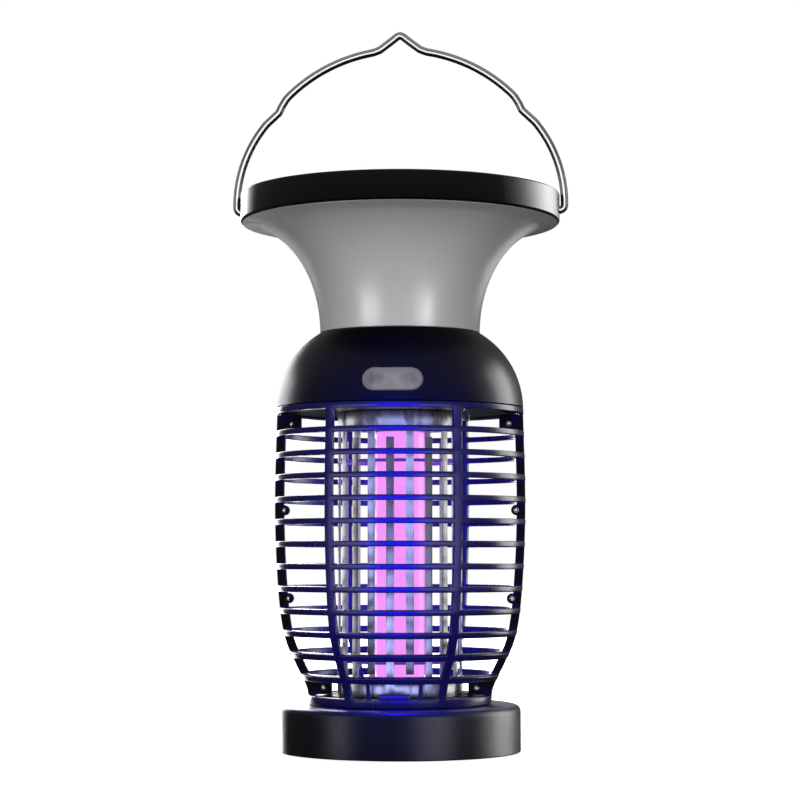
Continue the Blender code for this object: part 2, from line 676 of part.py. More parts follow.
def make_cage_shell(name):
    """Hoops, rings and ribs as one open sheet, with its wall added inwards."""
    bm = bmesh.new()
    rows = []
    for z in cage_heights():
        r = cage_radius(z)
        rows.append([bm.verts.new((r * math.sin(a), -r * math.cos(a), z)) for a in cage_angles(r)])
    ribs = (3, 8)
    for i in range(len(rows) - 1):
        for j in range(len(rows[0]) - 1):
            if i % 2 == 0 or j in ribs:
                bm.faces.new((rows[i][j], rows[i + 1][j], rows[i + 1][j + 1], rows[i][j + 1]))
    mesh = bpy.data.meshes.new(name)
    bm.to_mesh(mesh)
    bm.free()
    shell = add(name, mesh, BLACK)
    solidify = shell.modifiers.new("wall", "SOLIDIFY")
    solidify.thickness = CAGE_WALL
    solidify.offset = -1
    return shell


def flange_outline(side):
    steps = 8
    low, high = RING_TOP - 0.1 * MM, TOP_RING_BOTTOM - 0.2 * MM
    heights = [low + (high - low) * i / steps for i in range(steps + 1)]
    outer = [(side * (cage_radius(z) - 0.2 * MM), z) for z in heights]
    inner = [(side * (cage_radius(z) - FLANGE_DEPTH), z) for z in reversed(heights)]
    return outer + inner


def flange_side(name, side):
    """What one side's flange adds to a cage half, and the screw holes that are cut through it."""
    front, past = -FLANGE_WALL - 0.1 * MM, 1 * MM  # past the parting plane, where the parts are trimmed
    added = [plate(name + "_flange", flange_outline(side), -FLANGE_WALL, past)]
    holes = []
    for k, (low, high) in enumerate(TABS):
        x_low, x_high = sorted((side * low[0] * MM, side * high[0] * MM))
        added.append(box(f"{name}_tab_{k}", (x_low, front, low[1] * MM), (x_high, past, high[1] * MM)))
    for k, (x, z) in enumerate(SCREW_PLACES):
        x, z = side * x * MM, z * MM
        if k in EAR_SCREWS:
            added.append(rod(f"{name}_ear_{k}", (x, front, z), (x, past, z), EAR_R))
        holes.append(rod(f"{name}_hole_{k}", (x, -8 * MM, z), (x, 8 * MM, z), SCREW_HOLE_R))
    return added, holes


def make_cage_half(name, turn, front):
    """One moulding of the cage, built as the front half and turned half way round for the rear."""
    half = make_cage_shell(name)
    added = [
        ring(name + "_ledge", 37.6 * MM, 40.6 * MM, CAGE_BOTTOM + 0.2 * MM, 25.0 * MM),
        ring(name + "_lip", 52.9 * MM, 55.8 * MM, 158.0 * MM, CAGE_TOP - 0.2 * MM),
    ]
    removed = []
    for side, word in ((-1, "left"), (1, "right")):
        pieces, holes = flange_side(f"{name}_{word}", side)
        added += pieces
        removed += holes
    if front:
        added += front_details()
    trim = box(name + "_trim", (-90 * MM, -GAP / 2, 0), (90 * MM, 90 * MM, 200 * MM))
    join(half, *added)
    cut(half, trim, *removed)
    for obj in [half, trim] + added + removed:
        obj.rotation_euler = (0, 0, turn)


def front_details():
    """Catch plate and two thin posts in the lowest window at the front."""
    pieces = [box("catch_plate", (-7 * MM, -42.0 * MM, 26.0 * MM), (7 * MM, -40.0 * MM, 29.0 * MM))]
    for side in (-1, 1):
        angle = math.radians(-90 + 16 * side)
        low, high = polar(41.6 * MM, angle, 25.5 * MM), polar(43.4 * MM, angle, 34.5 * MM)
        pieces.append(rod(f"front_post_{side}", low, high, 0.95 * MM))
    return pieces


def make_cage_screws():
    """Screws that go in from the rear, with their tips flush with the front half."""
    length = 2 * FLANGE_WALL + GAP
    number = 0
    for side in (-1, 1):
        for x, z in SCREW_PLACES:
            number += 1
            screw = turned(f"cage_screw_{number}", screw_profile(length), STEEL, COARSE)
            screw.location = (side * x * MM, FLANGE_WALL + GAP, z * MM)
            screw.rotation_euler = (math.pi / 2, 0, 0)


# ---- lower collar and tray ----

def make_lower_collar():
    """A neck held by the cage's ledge, with spokes to the comb's hub and the lamp's cup, and bayonet lugs."""
    flange_low = NECK_TOP - 0.7 * MM
    neck = [(NECK_IN, NECK_TOP), (NECK_FLANGE_R, NECK_TOP), (NECK_FLANGE_R, flange_low), (NECK_R, flange_low),
            (NECK_R, NECK_BOTTOM), (NECK_IN, NECK_BOTTOM)]
    collar = turned("lower_collar", neck, BLACK)

    hub_in, seat_r, seat_z = COLLAR_R - 2 * MM, 31.5 * MM, RING_TOP - GAP
    hub = [(hub_in, HUB_TOP), (COLLAR_R, HUB_TOP), (COLLAR_R, seat_z), (seat_r, seat_z), (seat_r, HUB_BOTTOM),
           (hub_in, HUB_BOTTOM)]
    cup_in, cup_r, cup_z, cup_low = CAP_R + GAP, CAP_R + 2.3 * MM, seat_z - 0.1 * MM, HUB_BOTTOM + 0.1 * MM
    cup = [(0, cup_z), (cup_in, cup_z), (cup_in, HUB_TOP), (cup_r, HUB_TOP), (cup_r, cup_low), (0, cup_low)]
    join(collar, turned("collar_hub", hub), turned("lamp_cup", cup, segments=FINE))

    spoke_half, spoke_z = 2 * MM, (23.0 * MM, 25.8 * MM)
    for i, angle in enumerate(around(3, math.radians(90))):
        spoke = box(f"spoke_{i}", (cup_in + 1.3 * MM, -spoke_half, spoke_z[0]),
                    (NECK_R - 1.1 * MM, spoke_half, spoke_z[1]), turn=angle)
        lug = box(f"lug_{i}", (NECK_R - 0.9 * MM, -LUG_HALF, LUG_Z[0]), (LUG_R, LUG_HALF, LUG_Z[1]),
                  turn=angle + math.radians(60))
        join(collar, spoke, lug)


def make_base_shell(tray):
    """The tray's skin, with a notch in its mouth for each lug and two stops under its deck beside each."""
    corner, foot_z = 0.5 * MM, 0.5 * MM
    wall_in, deck_low = BASE_R - WALL, BASE_TOP - WALL
    outer = arc((BASE_R - BASE_CORNER, BASE_TOP - BASE_CORNER), BASE_CORNER, 90, 0, 4)
    profile = [(MOUTH_R, BASE_TOP)] + outer + [(BASE_R, foot_z + corner), (BASE_R - corner, foot_z)]
    profile += [(wall_in, foot_z), (wall_in, deck_low), (MOUTH_R, deck_low)]
    shell = turned("base_shell", profile, BLACK, parent=tray)

    notch_half, notch_r, stop_half = LUG_HALF + 0.9 * MM, LUG_R + 0.8 * MM, 2 * MM
    notch_z = (15 * MM, 30 * MM)
    for i, lug in enumerate(around(3, math.radians(150))):
        cut(shell, box(f"notch_{i}", (MOUTH_R - 2 * MM, -notch_half, notch_z[0]),
                       (notch_r, notch_half, notch_z[1]), turn=lug - LUG_TURN, parent=tray))
        for j, turn in enumerate((lug + STOP_TURN, lug - LUG_TURN - STOP_TURN)):
            stop = box(f"stop_{i}_{j}", (MOUTH_R + GAP, -stop_half, LUG_Z[0] - 0.4 * MM),
                       (MOUTH_R + 4.3 * MM, stop_half, deck_low + 0.5 * MM), turn=turn, parent=tray)
            join(shell, stop)


def make_tray():
    """The twist-off base: its shell, a floor with a low rim, and four rubber feet."""
    tray = bpy.data.objects.new("tray_axis", None)
    HELPERS.objects.link(tray)
    make_base_shell(tray)

    pan_r, pan_low, pan_high, rim_z = BASE_R - WALL - GAP, 0.6 * MM, 3.0 * MM, 7.0 * MM
    rim_in = pan_r - 2 * MM
    profile = [(0, pan_high), (rim_in, pan_high), (rim_in, rim_z), (pan_r, rim_z), (pan_r, pan_low),
               (0, pan_low)]
    pan = turned("tray_floor", profile, BLACK, parent=tray)
    for i, angle in enumerate(around(4, -math.pi / 2)):
        x, y, _ = polar(FOOT_CIRCLE, angle, 0)
        cut(pan, rod(f"foot_pocket_{i}", (x, y, -1 * MM), (x, y, FOOT_HEIGHT + GAP), FOOT_R + GAP,
                     segments=FINE, parent=tray))
        rod(f"foot_pad_{i + 1}", (x, y, 0), (x, y, FOOT_HEIGHT), FOOT_R, RUBBER, FINE, tray)


def shade_smooth():
    for obj in PARTS.objects:
        obj.data.shade_smooth()
        obj.data.set_sharp_from_angle(angle=math.radians(35))


def build():
    make_rim_band()
    make_solar_panel()
    make_diffuser()
    make_handle()
    make_bushes()
    button_frame = dome_frame("button_frame", BUTTON_Z, 0)
    port_frame = dome_frame("port_frame", PORT_Z, math.pi)
    block = dome_block()
    make_upper_housing(button_frame, port_frame)
    make_button(button_frame, block)
    make_port(port_frame, block)
    make_chassis()
    make_electronics()
    make_grid()
    make_lamp()
    make_cage_half("cage_front", 0, True)
    make_cage_half("cage_rear", math.pi, False)
    make_cage_screws()
    make_lower_collar()
    make_tray()
    shade_smooth()


clear_scene()
PARTS = new_collection("bug_zapper")
HELPERS = new_collection("helpers")
build()
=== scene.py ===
"""The bug zapper's looks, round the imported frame: fine surfaces, materials, studio light and camera."""

import json
import math

import bmesh
import bpy
from mathutils import Matrix, Vector


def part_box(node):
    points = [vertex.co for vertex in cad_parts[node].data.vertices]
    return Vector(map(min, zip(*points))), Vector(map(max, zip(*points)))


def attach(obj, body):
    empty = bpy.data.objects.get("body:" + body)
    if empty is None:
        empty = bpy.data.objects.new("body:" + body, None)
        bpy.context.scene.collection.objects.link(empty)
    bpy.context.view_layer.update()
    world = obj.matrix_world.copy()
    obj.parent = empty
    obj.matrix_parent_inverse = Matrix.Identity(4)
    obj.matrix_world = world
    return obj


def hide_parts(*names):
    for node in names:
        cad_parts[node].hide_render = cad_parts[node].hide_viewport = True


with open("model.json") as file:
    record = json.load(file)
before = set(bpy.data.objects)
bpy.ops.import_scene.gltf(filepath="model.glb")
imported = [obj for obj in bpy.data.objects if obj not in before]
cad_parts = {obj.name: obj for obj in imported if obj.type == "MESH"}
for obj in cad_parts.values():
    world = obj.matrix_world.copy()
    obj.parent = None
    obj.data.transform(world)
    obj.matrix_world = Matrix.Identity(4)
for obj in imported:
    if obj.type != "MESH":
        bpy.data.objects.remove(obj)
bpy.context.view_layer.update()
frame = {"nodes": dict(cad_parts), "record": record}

MM = 0.001
NODES = frame["nodes"]
BIG_ROUND, SMALL_ROUND = 192, 96  # sides of the large and the small turned pieces


# ---- sizes, read from the frame where it has them ----

def low(node):
    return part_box(node)[0]


def high(node):
    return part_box(node)[1]


RIM_R = high("rim_band").y
RIM_LOW, RIM_HIGH = low("rim_band").z, high("rim_band").z
BASE_R = high("base_shell").y
BASE_LOW, BASE_HIGH = low("base_shell").z, high("base_shell").z
GRID_R = high("upper_grid").y
GRID_SHEET = 0.8 * MM
FLARE_R = high("diffuser").y
DIFFUSER_LOW, DIFFUSER_HIGH = low("diffuser").z, high("diffuser").z
DOME_LOW, THROAT_Z = low("upper_housing").z, high("upper_housing").z
THROAT_R = 37.4 * MM
DOME_ARC_R, DOME_ARC_X, DOME_ARC_Z = 41.1 * MM, 16.5 * MM, 159.1 * MM  # the dome's outline
WALL = 2.2 * MM
LAMP_R = high("uv_lamp").y
LAMP_LOW, LAMP_HIGH = low("uv_lamp").z, high("uv_lamp").z

CAGE_LOW, CAGE_HIGH = low("cage_front").z, high("cage_front").z
HOOPS, HOOP_PITCH, HOOP_HEIGHT, TOP_HOOP_Z = 12, 10.24 * MM, 2.6 * MM, 147.2 * MM
TOP_RING, BOTTOM_RING = 2.8 * MM, 3.8 * MM
CAGE_WALL, RIB_ANGLE, RIB_WIDTH = 2.4 * MM, math.radians(30), 3.8 * MM
FLANGE_DEPTH, FLANGE_WALL, EAR_R = 4.2 * MM, 2.2 * MM, 2.4 * MM
SCREW_HOLE_R = 1.15 * MM
PARTING = 0.15 * MM
SCREW_PLACES = [  # x and height of the four screws at each side
    (50.9 * MM, 152.2 * MM), (54.2 * MM, 111.9 * MM), (52.1 * MM, 70.9 * MM), (35.6 * MM, 29.7 * MM),
]
TAB_CORNERS = [  # x and height, in millimetres, of each tab's opposite corners
    ((46.4, 148.4), (56.2, 156.3)), ((31.8, 26.6), (41.2, 33.4)),
]
CAGE_OUTLINE = [  # radius and height, in millimetres, on the cage's outside
    (42.3, 22.6), (43.5, 30.0), (48.8, 41.0), (53.7, 52.4), (56.8, 73.0), (58.6, 112.0), (57.7, 159.3),
]
CAGE_SPANS = (18, 1, 18, 1, 18)  # columns of the cage's sheet: beside, in and between its two ribs

FINGERS, FINGER_WIDTH, GRID_TURN = 10, 3.65 * MM, math.radians(3.5)
HANGING_BAND, STANDING_BAND = 7.5 * MM, 6.4 * MM

LUG_ANGLES, TWIST = (150, 270, 390), math.radians(30)  # degrees, and the base's turn

WIRE_R, PIVOT_Z, PIVOT_X = 1.8 * MM, 252.4 * MM, 77.3 * MM
PIN_END = 67.5 * MM

BLUE = (0.008, 0.008, 1.0)  # the lamp's light on the parts round it

BUTTON_Z, BUTTON_WIDTH, BUTTON_HEIGHT = 169.4 * MM, 27.5 * MM, 11.1 * MM
PORT_Z, PORT_WIDTH, PORT_HEIGHT = 168.0 * MM, 18.3 * MM, 9.8 * MM


# ---- materials ----

class Surface:
    """A material in the making: its Principled shader, and short calls that add nodes to it."""

    def __init__(self, name, colour, roughness, metallic=0.0, **fixed):
        self.material = bpy.data.materials.new(name)
        self.material.use_nodes = True
        self.tree = self.material.node_tree
        self.shader = self.tree.nodes["Principled BSDF"]
        self.fix(Base_Color=(*colour, 1.0), Roughness=roughness, Metallic=metallic, **fixed)

    def fix(self, **values):
        for socket, value in values.items():
            self.shader.inputs[socket.replace("_", " ")].default_value = value

    def node(self, kind, settings=None, **inputs):
        """A new node. Inputs go by name, with _ for a space, or by number as _0."""
        made = self.tree.nodes.new("ShaderNode" + kind)
        for key, value in (settings or {}).items():
            setattr(made, key, value)
        for socket, value in inputs.items():
            number = socket[1:]
            slot = made.inputs[int(number) if number.isdigit() else socket.replace("_", " ")]
            if isinstance(value, bpy.types.NodeSocket):
                self.tree.links.new(value, slot)
            else:
                slot.default_value = value
        return made

    def link(self, output, socket):
        self.tree.links.new(output, self.shader.inputs[socket])

    def place(self, stretch=(1, 1, 1)):
        coordinates = self.node("TexCoord").outputs["Object"]
        return self.node("Mapping", Vector=coordinates, Scale=stretch).outputs[0]

    def noise(self, per_metre, detail=3.0, stretch=(1, 1, 1), distortion=0.0):
        made = self.node("TexNoise", Vector=self.place(stretch), Scale=per_metre, Detail=detail,
                         Distortion=distortion)
        return made.outputs["Fac"]

    def ranged(self, value, start, end, out_start, out_end):
        made = self.node("MapRange", {"clamp": True}, Value=value, From_Min=start, From_Max=end,
                         To_Min=out_start, To_Max=out_end)
        return made.outputs[0]

    def maths(self, operation, first, second=0.0):
        return self.node("Math", {"operation": operation}, _0=first, _1=second).outputs[0]

    def mixed(self, factor, first, second):
        first, second = [(*c, 1.0) if isinstance(c, tuple) else c for c in (first, second)]
        made = self.node("Mix", {"data_type": "RGBA"}, _0=factor, _6=first, _7=second)
        return made.outputs[2]

    def bump(self, height, depth, strength=1.0):
        made = self.node("Bump", Height=height, Distance=depth, Strength=strength)
        self.link(made.outputs[0], "Normal")

    def edges(self, start=0.52, end=0.60):
        """1 on worn convex edges, 0 elsewhere."""
        pointy = self.node("NewGeometry").outputs["Pointiness"]
        return self.ranged(pointy, start, end, 0.0, 1.0)


def moulded(name, colour, roughness, grain=2600, depth=0.03, wear=0.5, **fixed):
    """Moulded plastic: fine grain, drifting gloss, a little dust, and edges rubbed lighter."""
    s = Surface(name, colour, roughness, **fixed)
    drift = s.noise(28, 4.0)
    fine = s.noise(grain, 2.0)
    marks = s.noise(420, 5.0, (1, 1, 0.12), 0.4)
    rough = s.ranged(drift, 0.3, 0.7, roughness * 0.82, roughness * 1.2)
    s.link(s.maths("ADD", rough, s.ranged(marks, 0.6, 0.75, 0.0, 0.09)), "Roughness")
    lighter = tuple(min(1.0, c * 1.9 + 0.012) for c in colour)
    dusty = s.mixed(s.ranged(drift, 0.45, 0.8, 0.0, 0.22), colour, lighter)
    s.link(s.mixed(s.maths("MULTIPLY", s.edges(), wear), dusty, lighter), "Base Color")
    s.bump(fine, depth * MM, 0.6)
    return s.material


def rolled(name, colour, roughness, stretch, per_metre=900, depth=0.002):
    """Bright metal with fine lines along its rolling or drawing direction, and faint tarnish."""
    s = Surface(name, colour, roughness, 1.0)
    lines = s.noise(per_metre, 3.0, stretch)
    cloud = s.noise(60, 4.0)
    rough = s.ranged(lines, 0.3, 0.7, roughness * 0.85, roughness * 1.2)
    s.link(s.maths("ADD", rough, s.ranged(cloud, 0.55, 0.8, 0.0, 0.08)), "Roughness")
    dull = tuple(c * 0.82 for c in colour)
    s.link(s.mixed(s.ranged(cloud, 0.4, 0.8, 0.0, 0.35), colour, dull), "Base Color")
    s.bump(lines, depth * MM, 0.3)
    return s.material


def milky_plastic():
    """Diffuser: opal plastic that light soaks into, with faint moulding flow and smears in its gloss."""
    colour = (0.47, 0.47, 0.48)
    s = Surface("milky_diffuser", colour, 0.33, Subsurface_Weight=0.25, Subsurface_Radius=(1.0, 1.0, 1.0),
                Subsurface_Scale=0.004, Specular_IOR_Level=0.9)
    cloud = s.noise(16, 5.0)
    flow = s.noise(130, 3.0, (1, 1, 0.08))
    s.link(s.mixed(s.ranged(cloud, 0.3, 0.75, 0.0, 1.0), colour, (0.52, 0.52, 0.525)), "Base Color")
    smear = s.ranged(s.noise(75, 6.0, (1, 1, 0.4), 0.8), 0.55, 0.75, 0.0, 0.10)
    s.link(s.maths("ADD", s.ranged(flow, 0.3, 0.7, 0.28, 0.38), smear), "Roughness")
    s.bump(s.noise(900, 2.0), 0.015 * MM, 0.5)
    return s.material


def lens_plastic():
    """Button: smoked translucent cap, with painted light through its middle and painted shade over its two
    ends.
    """
    s = Surface("grey_lens", (0.25, 0.24, 0.30), 0.36, Subsurface_Weight=0.2, Subsurface_Scale=0.003)
    split = s.node("SeparateXYZ", Vector=s.place())
    across, up = split.outputs["X"], split.outputs["Z"]
    spot_x, spot_half_width, spot_half_height = 7.4 * MM, 4.6 * MM, 3.6 * MM
    # Painted shade: two soft dark spots over the cap's ends, which leave a painted lighter middle between
    # them.
    painted_shade_spots = []
    for side in (-1, 1):
        dx = s.maths("DIVIDE", s.maths("SUBTRACT", across, side * spot_x), spot_half_width)
        dz = s.maths("DIVIDE", up, spot_half_height)
        spread = s.maths("SQRT", s.maths("ADD", s.maths("MULTIPLY", dx, dx), s.maths("MULTIPLY", dz, dz)))
        painted_shade_spots.append(s.ranged(spread, 0.35, 1.0, 1.0, 0.0))
    shade = s.maths("ADD", painted_shade_spots[0], painted_shade_spots[1])
    cloud = s.ranged(s.noise(240, 4.0), 0.3, 0.7, 0.0, 0.35)
    pale = s.mixed(cloud, (0.30, 0.29, 0.35), (0.24, 0.23, 0.29))
    # The painted shade darkens the cap's colour towards its two ends.
    s.link(s.mixed(s.maths("MULTIPLY", shade, 0.75), pale, (0.12, 0.115, 0.15)), "Base Color")
    s.link(s.ranged(s.noise(500, 3.0), 0.3, 0.7, 0.30, 0.42), "Roughness")
    s.bump(s.noise(1800, 2.0), 0.02 * MM, 0.5)
    return s.material


def glowing_tube():
    """Lamp: violet glow through a phosphor coat that is slightly cloudy."""
    s = Surface("lamp_glow", (0.12, 0.04, 0.14), 0.3, Emission_Strength=1.0)
    coat = s.ranged(s.noise(160, 4.0), 0.3, 0.7, 0.0, 1.0)
    s.link(s.mixed(coat, (0.93, 0.325, 1.0), (0.86, 0.29, 0.98)), "Emission Color")
    s.link(s.ranged(coat, 0.0, 1.0, 0.25, 0.35), "Roughness")
    s.bump(s.noise(700, 2.0), 0.006 * MM, 0.4)
    return s.material


def solar_cells():
    """Blue-black silicon: squares with silver gaps, fine finger lines and crystal grain."""
    s = Surface("solar_cell", (0.012, 0.02, 0.07), 0.25, 0.3)
    split = s.node("SeparateXYZ", Vector=s.place())
    cell, gap = 21.0 * MM, 0.7 * MM
    finger_pitch, finger_width, bus_width = 2.1 * MM, 0.16 * MM, 1.0 * MM

    def lines(axis, pitch, width):
        """1 on a line in the middle of each pitch along the axis, 0 beside it."""
        share = s.maths("FRACT", s.maths("DIVIDE", axis, pitch))
        from_middle = s.maths("ABSOLUTE", s.maths("SUBTRACT", share, 0.5))
        return s.maths("LESS_THAN", from_middle, width / pitch / 2)

    borders = s.maths("MAXIMUM", lines(split.outputs["X"], cell, gap), lines(split.outputs["Y"], cell, gap))
    fingers = lines(split.outputs["X"], finger_pitch, finger_width)
    buses = lines(split.outputs["Y"], cell / 2, bus_width)
    crystals = s.node("TexVoronoi", Vector=s.place(), Scale=220.0).outputs["Color"]
    tone = s.ranged(s.node("RGBToBW", Color=crystals).outputs[0], 0.0, 1.0, 0.0, 1.0)
    silicon = s.mixed(tone, (0.006, 0.012, 0.05), (0.02, 0.035, 0.12))
    silver = s.maths("MAXIMUM", s.maths("MULTIPLY", fingers, 0.35), buses)
    printed = s.mixed(silver, silicon, (0.45, 0.46, 0.48))
    s.link(s.mixed(borders, printed, (0.10, 0.10, 0.11)), "Base Color")
    s.link(s.ranged(tone, 0.0, 1.0, 0.2, 0.4), "Roughness")
    s.bump(silver, 0.03 * MM, 0.6)
    return s.material


def panel_glass():
    """Cover glass: clear, with a faint film of dust."""
    s = Surface("panel_glass", (0.9, 0.93, 0.95), 0.03, Transmission_Weight=1.0, IOR=1.45)
    dust = s.noise(45, 6.0, (1, 1, 1), 0.5)
    s.link(s.ranged(dust, 0.45, 0.8, 0.02, 0.14), "Roughness")
    s.bump(s.noise(300, 2.0), 0.004 * MM, 0.3)
    return s.material


def circuit_board():
    """Green board with raised tracks."""
    s = Surface("circuit_board", (0.02, 0.16, 0.07), 0.42)
    tracks = s.node("TexVoronoi", {"feature": "DISTANCE_TO_EDGE", "distance": "CHEBYCHEV"},
                    Vector=s.place(), Scale=320.0).outputs["Distance"]
    line = s.ranged(tracks, 0.02, 0.05, 1.0, 0.0)
    s.link(s.mixed(line, (0.015, 0.13, 0.055), (0.03, 0.26, 0.10)), "Base Color")
    s.link(s.ranged(s.noise(300), 0.3, 0.7, 0.32, 0.5), "Roughness")
    s.bump(line, 0.03 * MM, 0.5)
    return s.material


def rubber():
    """Matt black rubber, dusty in patches."""
    s = Surface("rubber", (0.016, 0.016, 0.017), 0.78)
    dust = s.ranged(s.noise(90, 5.0), 0.4, 0.75, 0.0, 0.5)
    s.link(s.mixed(dust, (0.014, 0.014, 0.015), (0.04, 0.04, 0.042)), "Base Color")
    s.link(s.ranged(s.noise(500), 0.3, 0.7, 0.68, 0.88), "Roughness")
    s.bump(s.noise(2200, 3.0), 0.05 * MM, 0.7)
    return s.material


def floor_paper():
    """Paper with a light of its own, which nearly hides the shadow."""
    s = Surface("floor", (0.92, 0.92, 0.92), 0.85, Emission_Color=(1, 1, 1, 1), Emission_Strength=0.95)
    s.link(s.mixed(s.noise(3, 3.0), (0.92, 0.92, 0.92), (0.95, 0.95, 0.95)), "Base Color")
    return s.material


MATERIALS = {
    "gloss_black": moulded("gloss_black", (0.006, 0.006, 0.007), 0.17, 1500, 0.006, 0.35, Coat_Weight=0.4,
                           Coat_Roughness=0.06),
    "satin_black": moulded("satin_black", (0.010, 0.010, 0.014), 0.34, 2800, 0.02, 0.35),
    "cage_black": moulded("cage_black", (0.014, 0.014, 0.024), 0.27, 2400, 0.015, 0.5),
    "milky_diffuser": milky_plastic(),
    "grey_lens": lens_plastic(),
    "polished_steel": rolled("polished_steel", (0.74, 0.74, 0.75), 0.2, (1, 1, 1), 700, 0.0006),
    "bright_steel": rolled("bright_steel", (0.80, 0.80, 0.83), 0.26, (1, 1, 0.03), 500, 0.0005),
    "lamp_glow": glowing_tube(),
    "white_plastic": moulded("white_plastic", (0.72, 0.72, 0.70), 0.42, 1800, 0.02, 0.1),
    # Painted light: the spacer rings' violet colour and weak emission stand in for the lamp's glow on white
    # plastic, though they are no lamp.
    "painted_violet_glow": moulded("painted_violet_glow", (0.16, 0.10, 0.55), 0.35, 1800, 0.01, 0.1,
                              Emission_Color=(0.20, 0.10, 0.75, 1.0), Emission_Strength=0.35),
    "circuit_board": circuit_board(),
    "rubber": rubber(),
    "cell_wrap": moulded("cell_wrap", (0.03, 0.12, 0.45), 0.32, 1200, 0.01, 0.2),
    "solar_cell": solar_cells(),
    "panel_glass": panel_glass(),
}


# ---- mesh helpers ----

def add_object(name, data):
    obj = bpy.data.objects.new(name, data)
    bpy.context.scene.collection.objects.link(obj)
    return obj


def piece(name, mesh, body, slot, stands_for=(), look=None, matrix=None, sharp=32):
    """A finished piece that rides on a body and stands for CAD nodes."""
    obj = add_object(name, mesh)
    mesh.materials.clear()
    mesh.materials.append(MATERIALS[look or slot])
    mesh.shade_smooth()
    mesh.set_sharp_from_angle(angle=math.radians(sharp))
    if matrix is not None:
        obj.matrix_world = matrix
    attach(obj, body)
    if stands_for:
        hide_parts(*stands_for)
    return obj


def plain_mesh(name, bm):
    mesh = bpy.data.meshes.new(name)
    bm.to_mesh(mesh)
    bm.free()
    return mesh


def mesh_from(name, bm):
    """A mesh from a closed surface, with its normals outwards."""
    bmesh.ops.recalc_face_normals(bm, faces=bm.faces)
    if bm.calc_volume(signed=True) < 0:
        bmesh.ops.reverse_faces(bm, faces=bm.faces)
    return plain_mesh(name, bm)


def bridge(bm, rings):
    """Faces between rings that have as many corners as each other."""
    for first, second in zip(rings, rings[1:]):
        for k in range(len(first)):
            j = (k + 1) % len(first)
            bm.faces.new((first[k], first[j], second[j], second[k]))


def soften(corners, steps=4):
    """A closed outline from corners of (x, y, fillet): each fillet is drawn as a short curve."""
    points = []
    for i, (x, y, fillet) in enumerate(corners):
        here = Vector((x, y))
        before = Vector(corners[i - 1][:2]) - here
        after = Vector(corners[(i + 1) % len(corners)][:2]) - here
        reach = min(fillet, before.length * 0.45, after.length * 0.45)
        if reach < 0.02 * MM:
            points.append((x, y))
            continue
        start, end = here + before.normalized() * reach, here + after.normalized() * reach
        for k in range(steps + 1):
            t = k / steps
            p = start * (1 - t) ** 2 + here * 2 * t * (1 - t) + end * t**2
            points.append((p.x, p.y))
    return points


def arc(centre, radius, start, end, steps):
    """Points along an arc between two angles in degrees."""
    angles = [math.radians(start + (end - start) * i / steps) for i in range(steps + 1)]
    return [(centre[0] + radius * math.cos(a), centre[1] + radius * math.sin(a)) for a in angles]


def lathe(name, outline, steps=160):
    """A closed outline of (radius, height) turned about Z. Points on the axis become one vertex."""
    bm = bmesh.new()
    rings = []
    for r, z in outline:
        if r < 1e-6:
            rings.append([bm.verts.new((0, 0, z))])
        else:
            turns = [2 * math.pi * i / steps for i in range(steps)]
            rings.append([bm.verts.new((r * math.cos(a), r * math.sin(a), z)) for a in turns])
    for i, ring in enumerate(rings):
        other = rings[(i + 1) % len(rings)]
        if len(ring) == 1 and len(other) == 1:
            continue
        for k in range(steps):
            j = (k + 1) % steps
            corners = [ring[k % len(ring)], other[k % len(other)],
                       other[j % len(other)], ring[j % len(ring)]]
            bm.faces.new(dict.fromkeys(corners))
    return mesh_from(name, bm)


def slab(name, outline, y_low, y_high):
    """A flat outline of (x, z) with its thickness along Y."""
    bm = bmesh.new()
    face = bm.faces.new([bm.verts.new((x, y_low, z)) for x, z in outline])
    swept = bmesh.ops.extrude_face_region(bm, geom=[face])["geom"]
    verts = [v for v in swept if isinstance(v, bmesh.types.BMVert)]
    bmesh.ops.translate(bm, verts=verts, vec=(0, y_high - y_low, 0))
    return mesh_from(name, bm)


def cylinder(name, start, end, radius, steps=32):
    start, end = Vector(start), Vector(end)
    bm = bmesh.new()
    bmesh.ops.create_cone(bm, cap_ends=True, segments=steps, radius1=radius, radius2=radius,
                          depth=(end - start).length)
    tilt = Vector((0, 0, 1)).rotation_difference(end - start).to_matrix().to_4x4()
    bm.transform(Matrix.Translation((start + end) / 2) @ tilt)
    return mesh_from(name, bm)


def block(name, corner, opposite):
    bm = bmesh.new()
    bmesh.ops.create_cube(bm, size=1.0)
    size = [abs(b - a) for a, b in zip(corner, opposite)]
    middle = [(a + b) / 2 for a, b in zip(corner, opposite)]
    bm.transform(Matrix.Translation(middle) @ Matrix.Diagonal((*size, 1.0)))
    return mesh_from(name, bm)


def add_boolean(obj, kind, mesh):
    """Joins a mesh to the object or cuts it out. Returns the helper that holds the mesh."""
    helper = add_object("helper", mesh)
    modifier = obj.modifiers.new(kind, "BOOLEAN")
    modifier.operation = "UNION" if kind == "join" else "DIFFERENCE"
    modifier.solver = "EXACT"
    modifier.object = helper
    return helper


def shaped(mesh, steps):
    """The mesh after modifier steps: ("join" or "cut", meshes), ("bevel", width) or ("solidify", depth)."""
    obj = add_object("work", mesh)
    helpers = []
    for kind, value in steps:
        if kind in ("join", "cut"):
            helpers += [add_boolean(obj, kind, other) for other in value]
        elif kind == "bevel":
            modifier = obj.modifiers.new(kind, "BEVEL")
            modifier.width = value
            modifier.segments = 3
            modifier.limit_method = "ANGLE"
            modifier.angle_limit = math.radians(40)
        else:
            modifier = obj.modifiers.new(kind, "SOLIDIFY")
            modifier.thickness = value
            modifier.offset = -1
    graph = bpy.context.evaluated_depsgraph_get()
    result = bpy.data.meshes.new_from_object(obj.evaluated_get(graph))
    for other in [obj] + helpers:
        bpy.data.objects.remove(other)
    return result


def joined(name, meshes):
    """Several meshes as one."""
    bm = bmesh.new()
    for mesh in meshes:
        bm.from_mesh(mesh)
    return plain_mesh(name, bm)


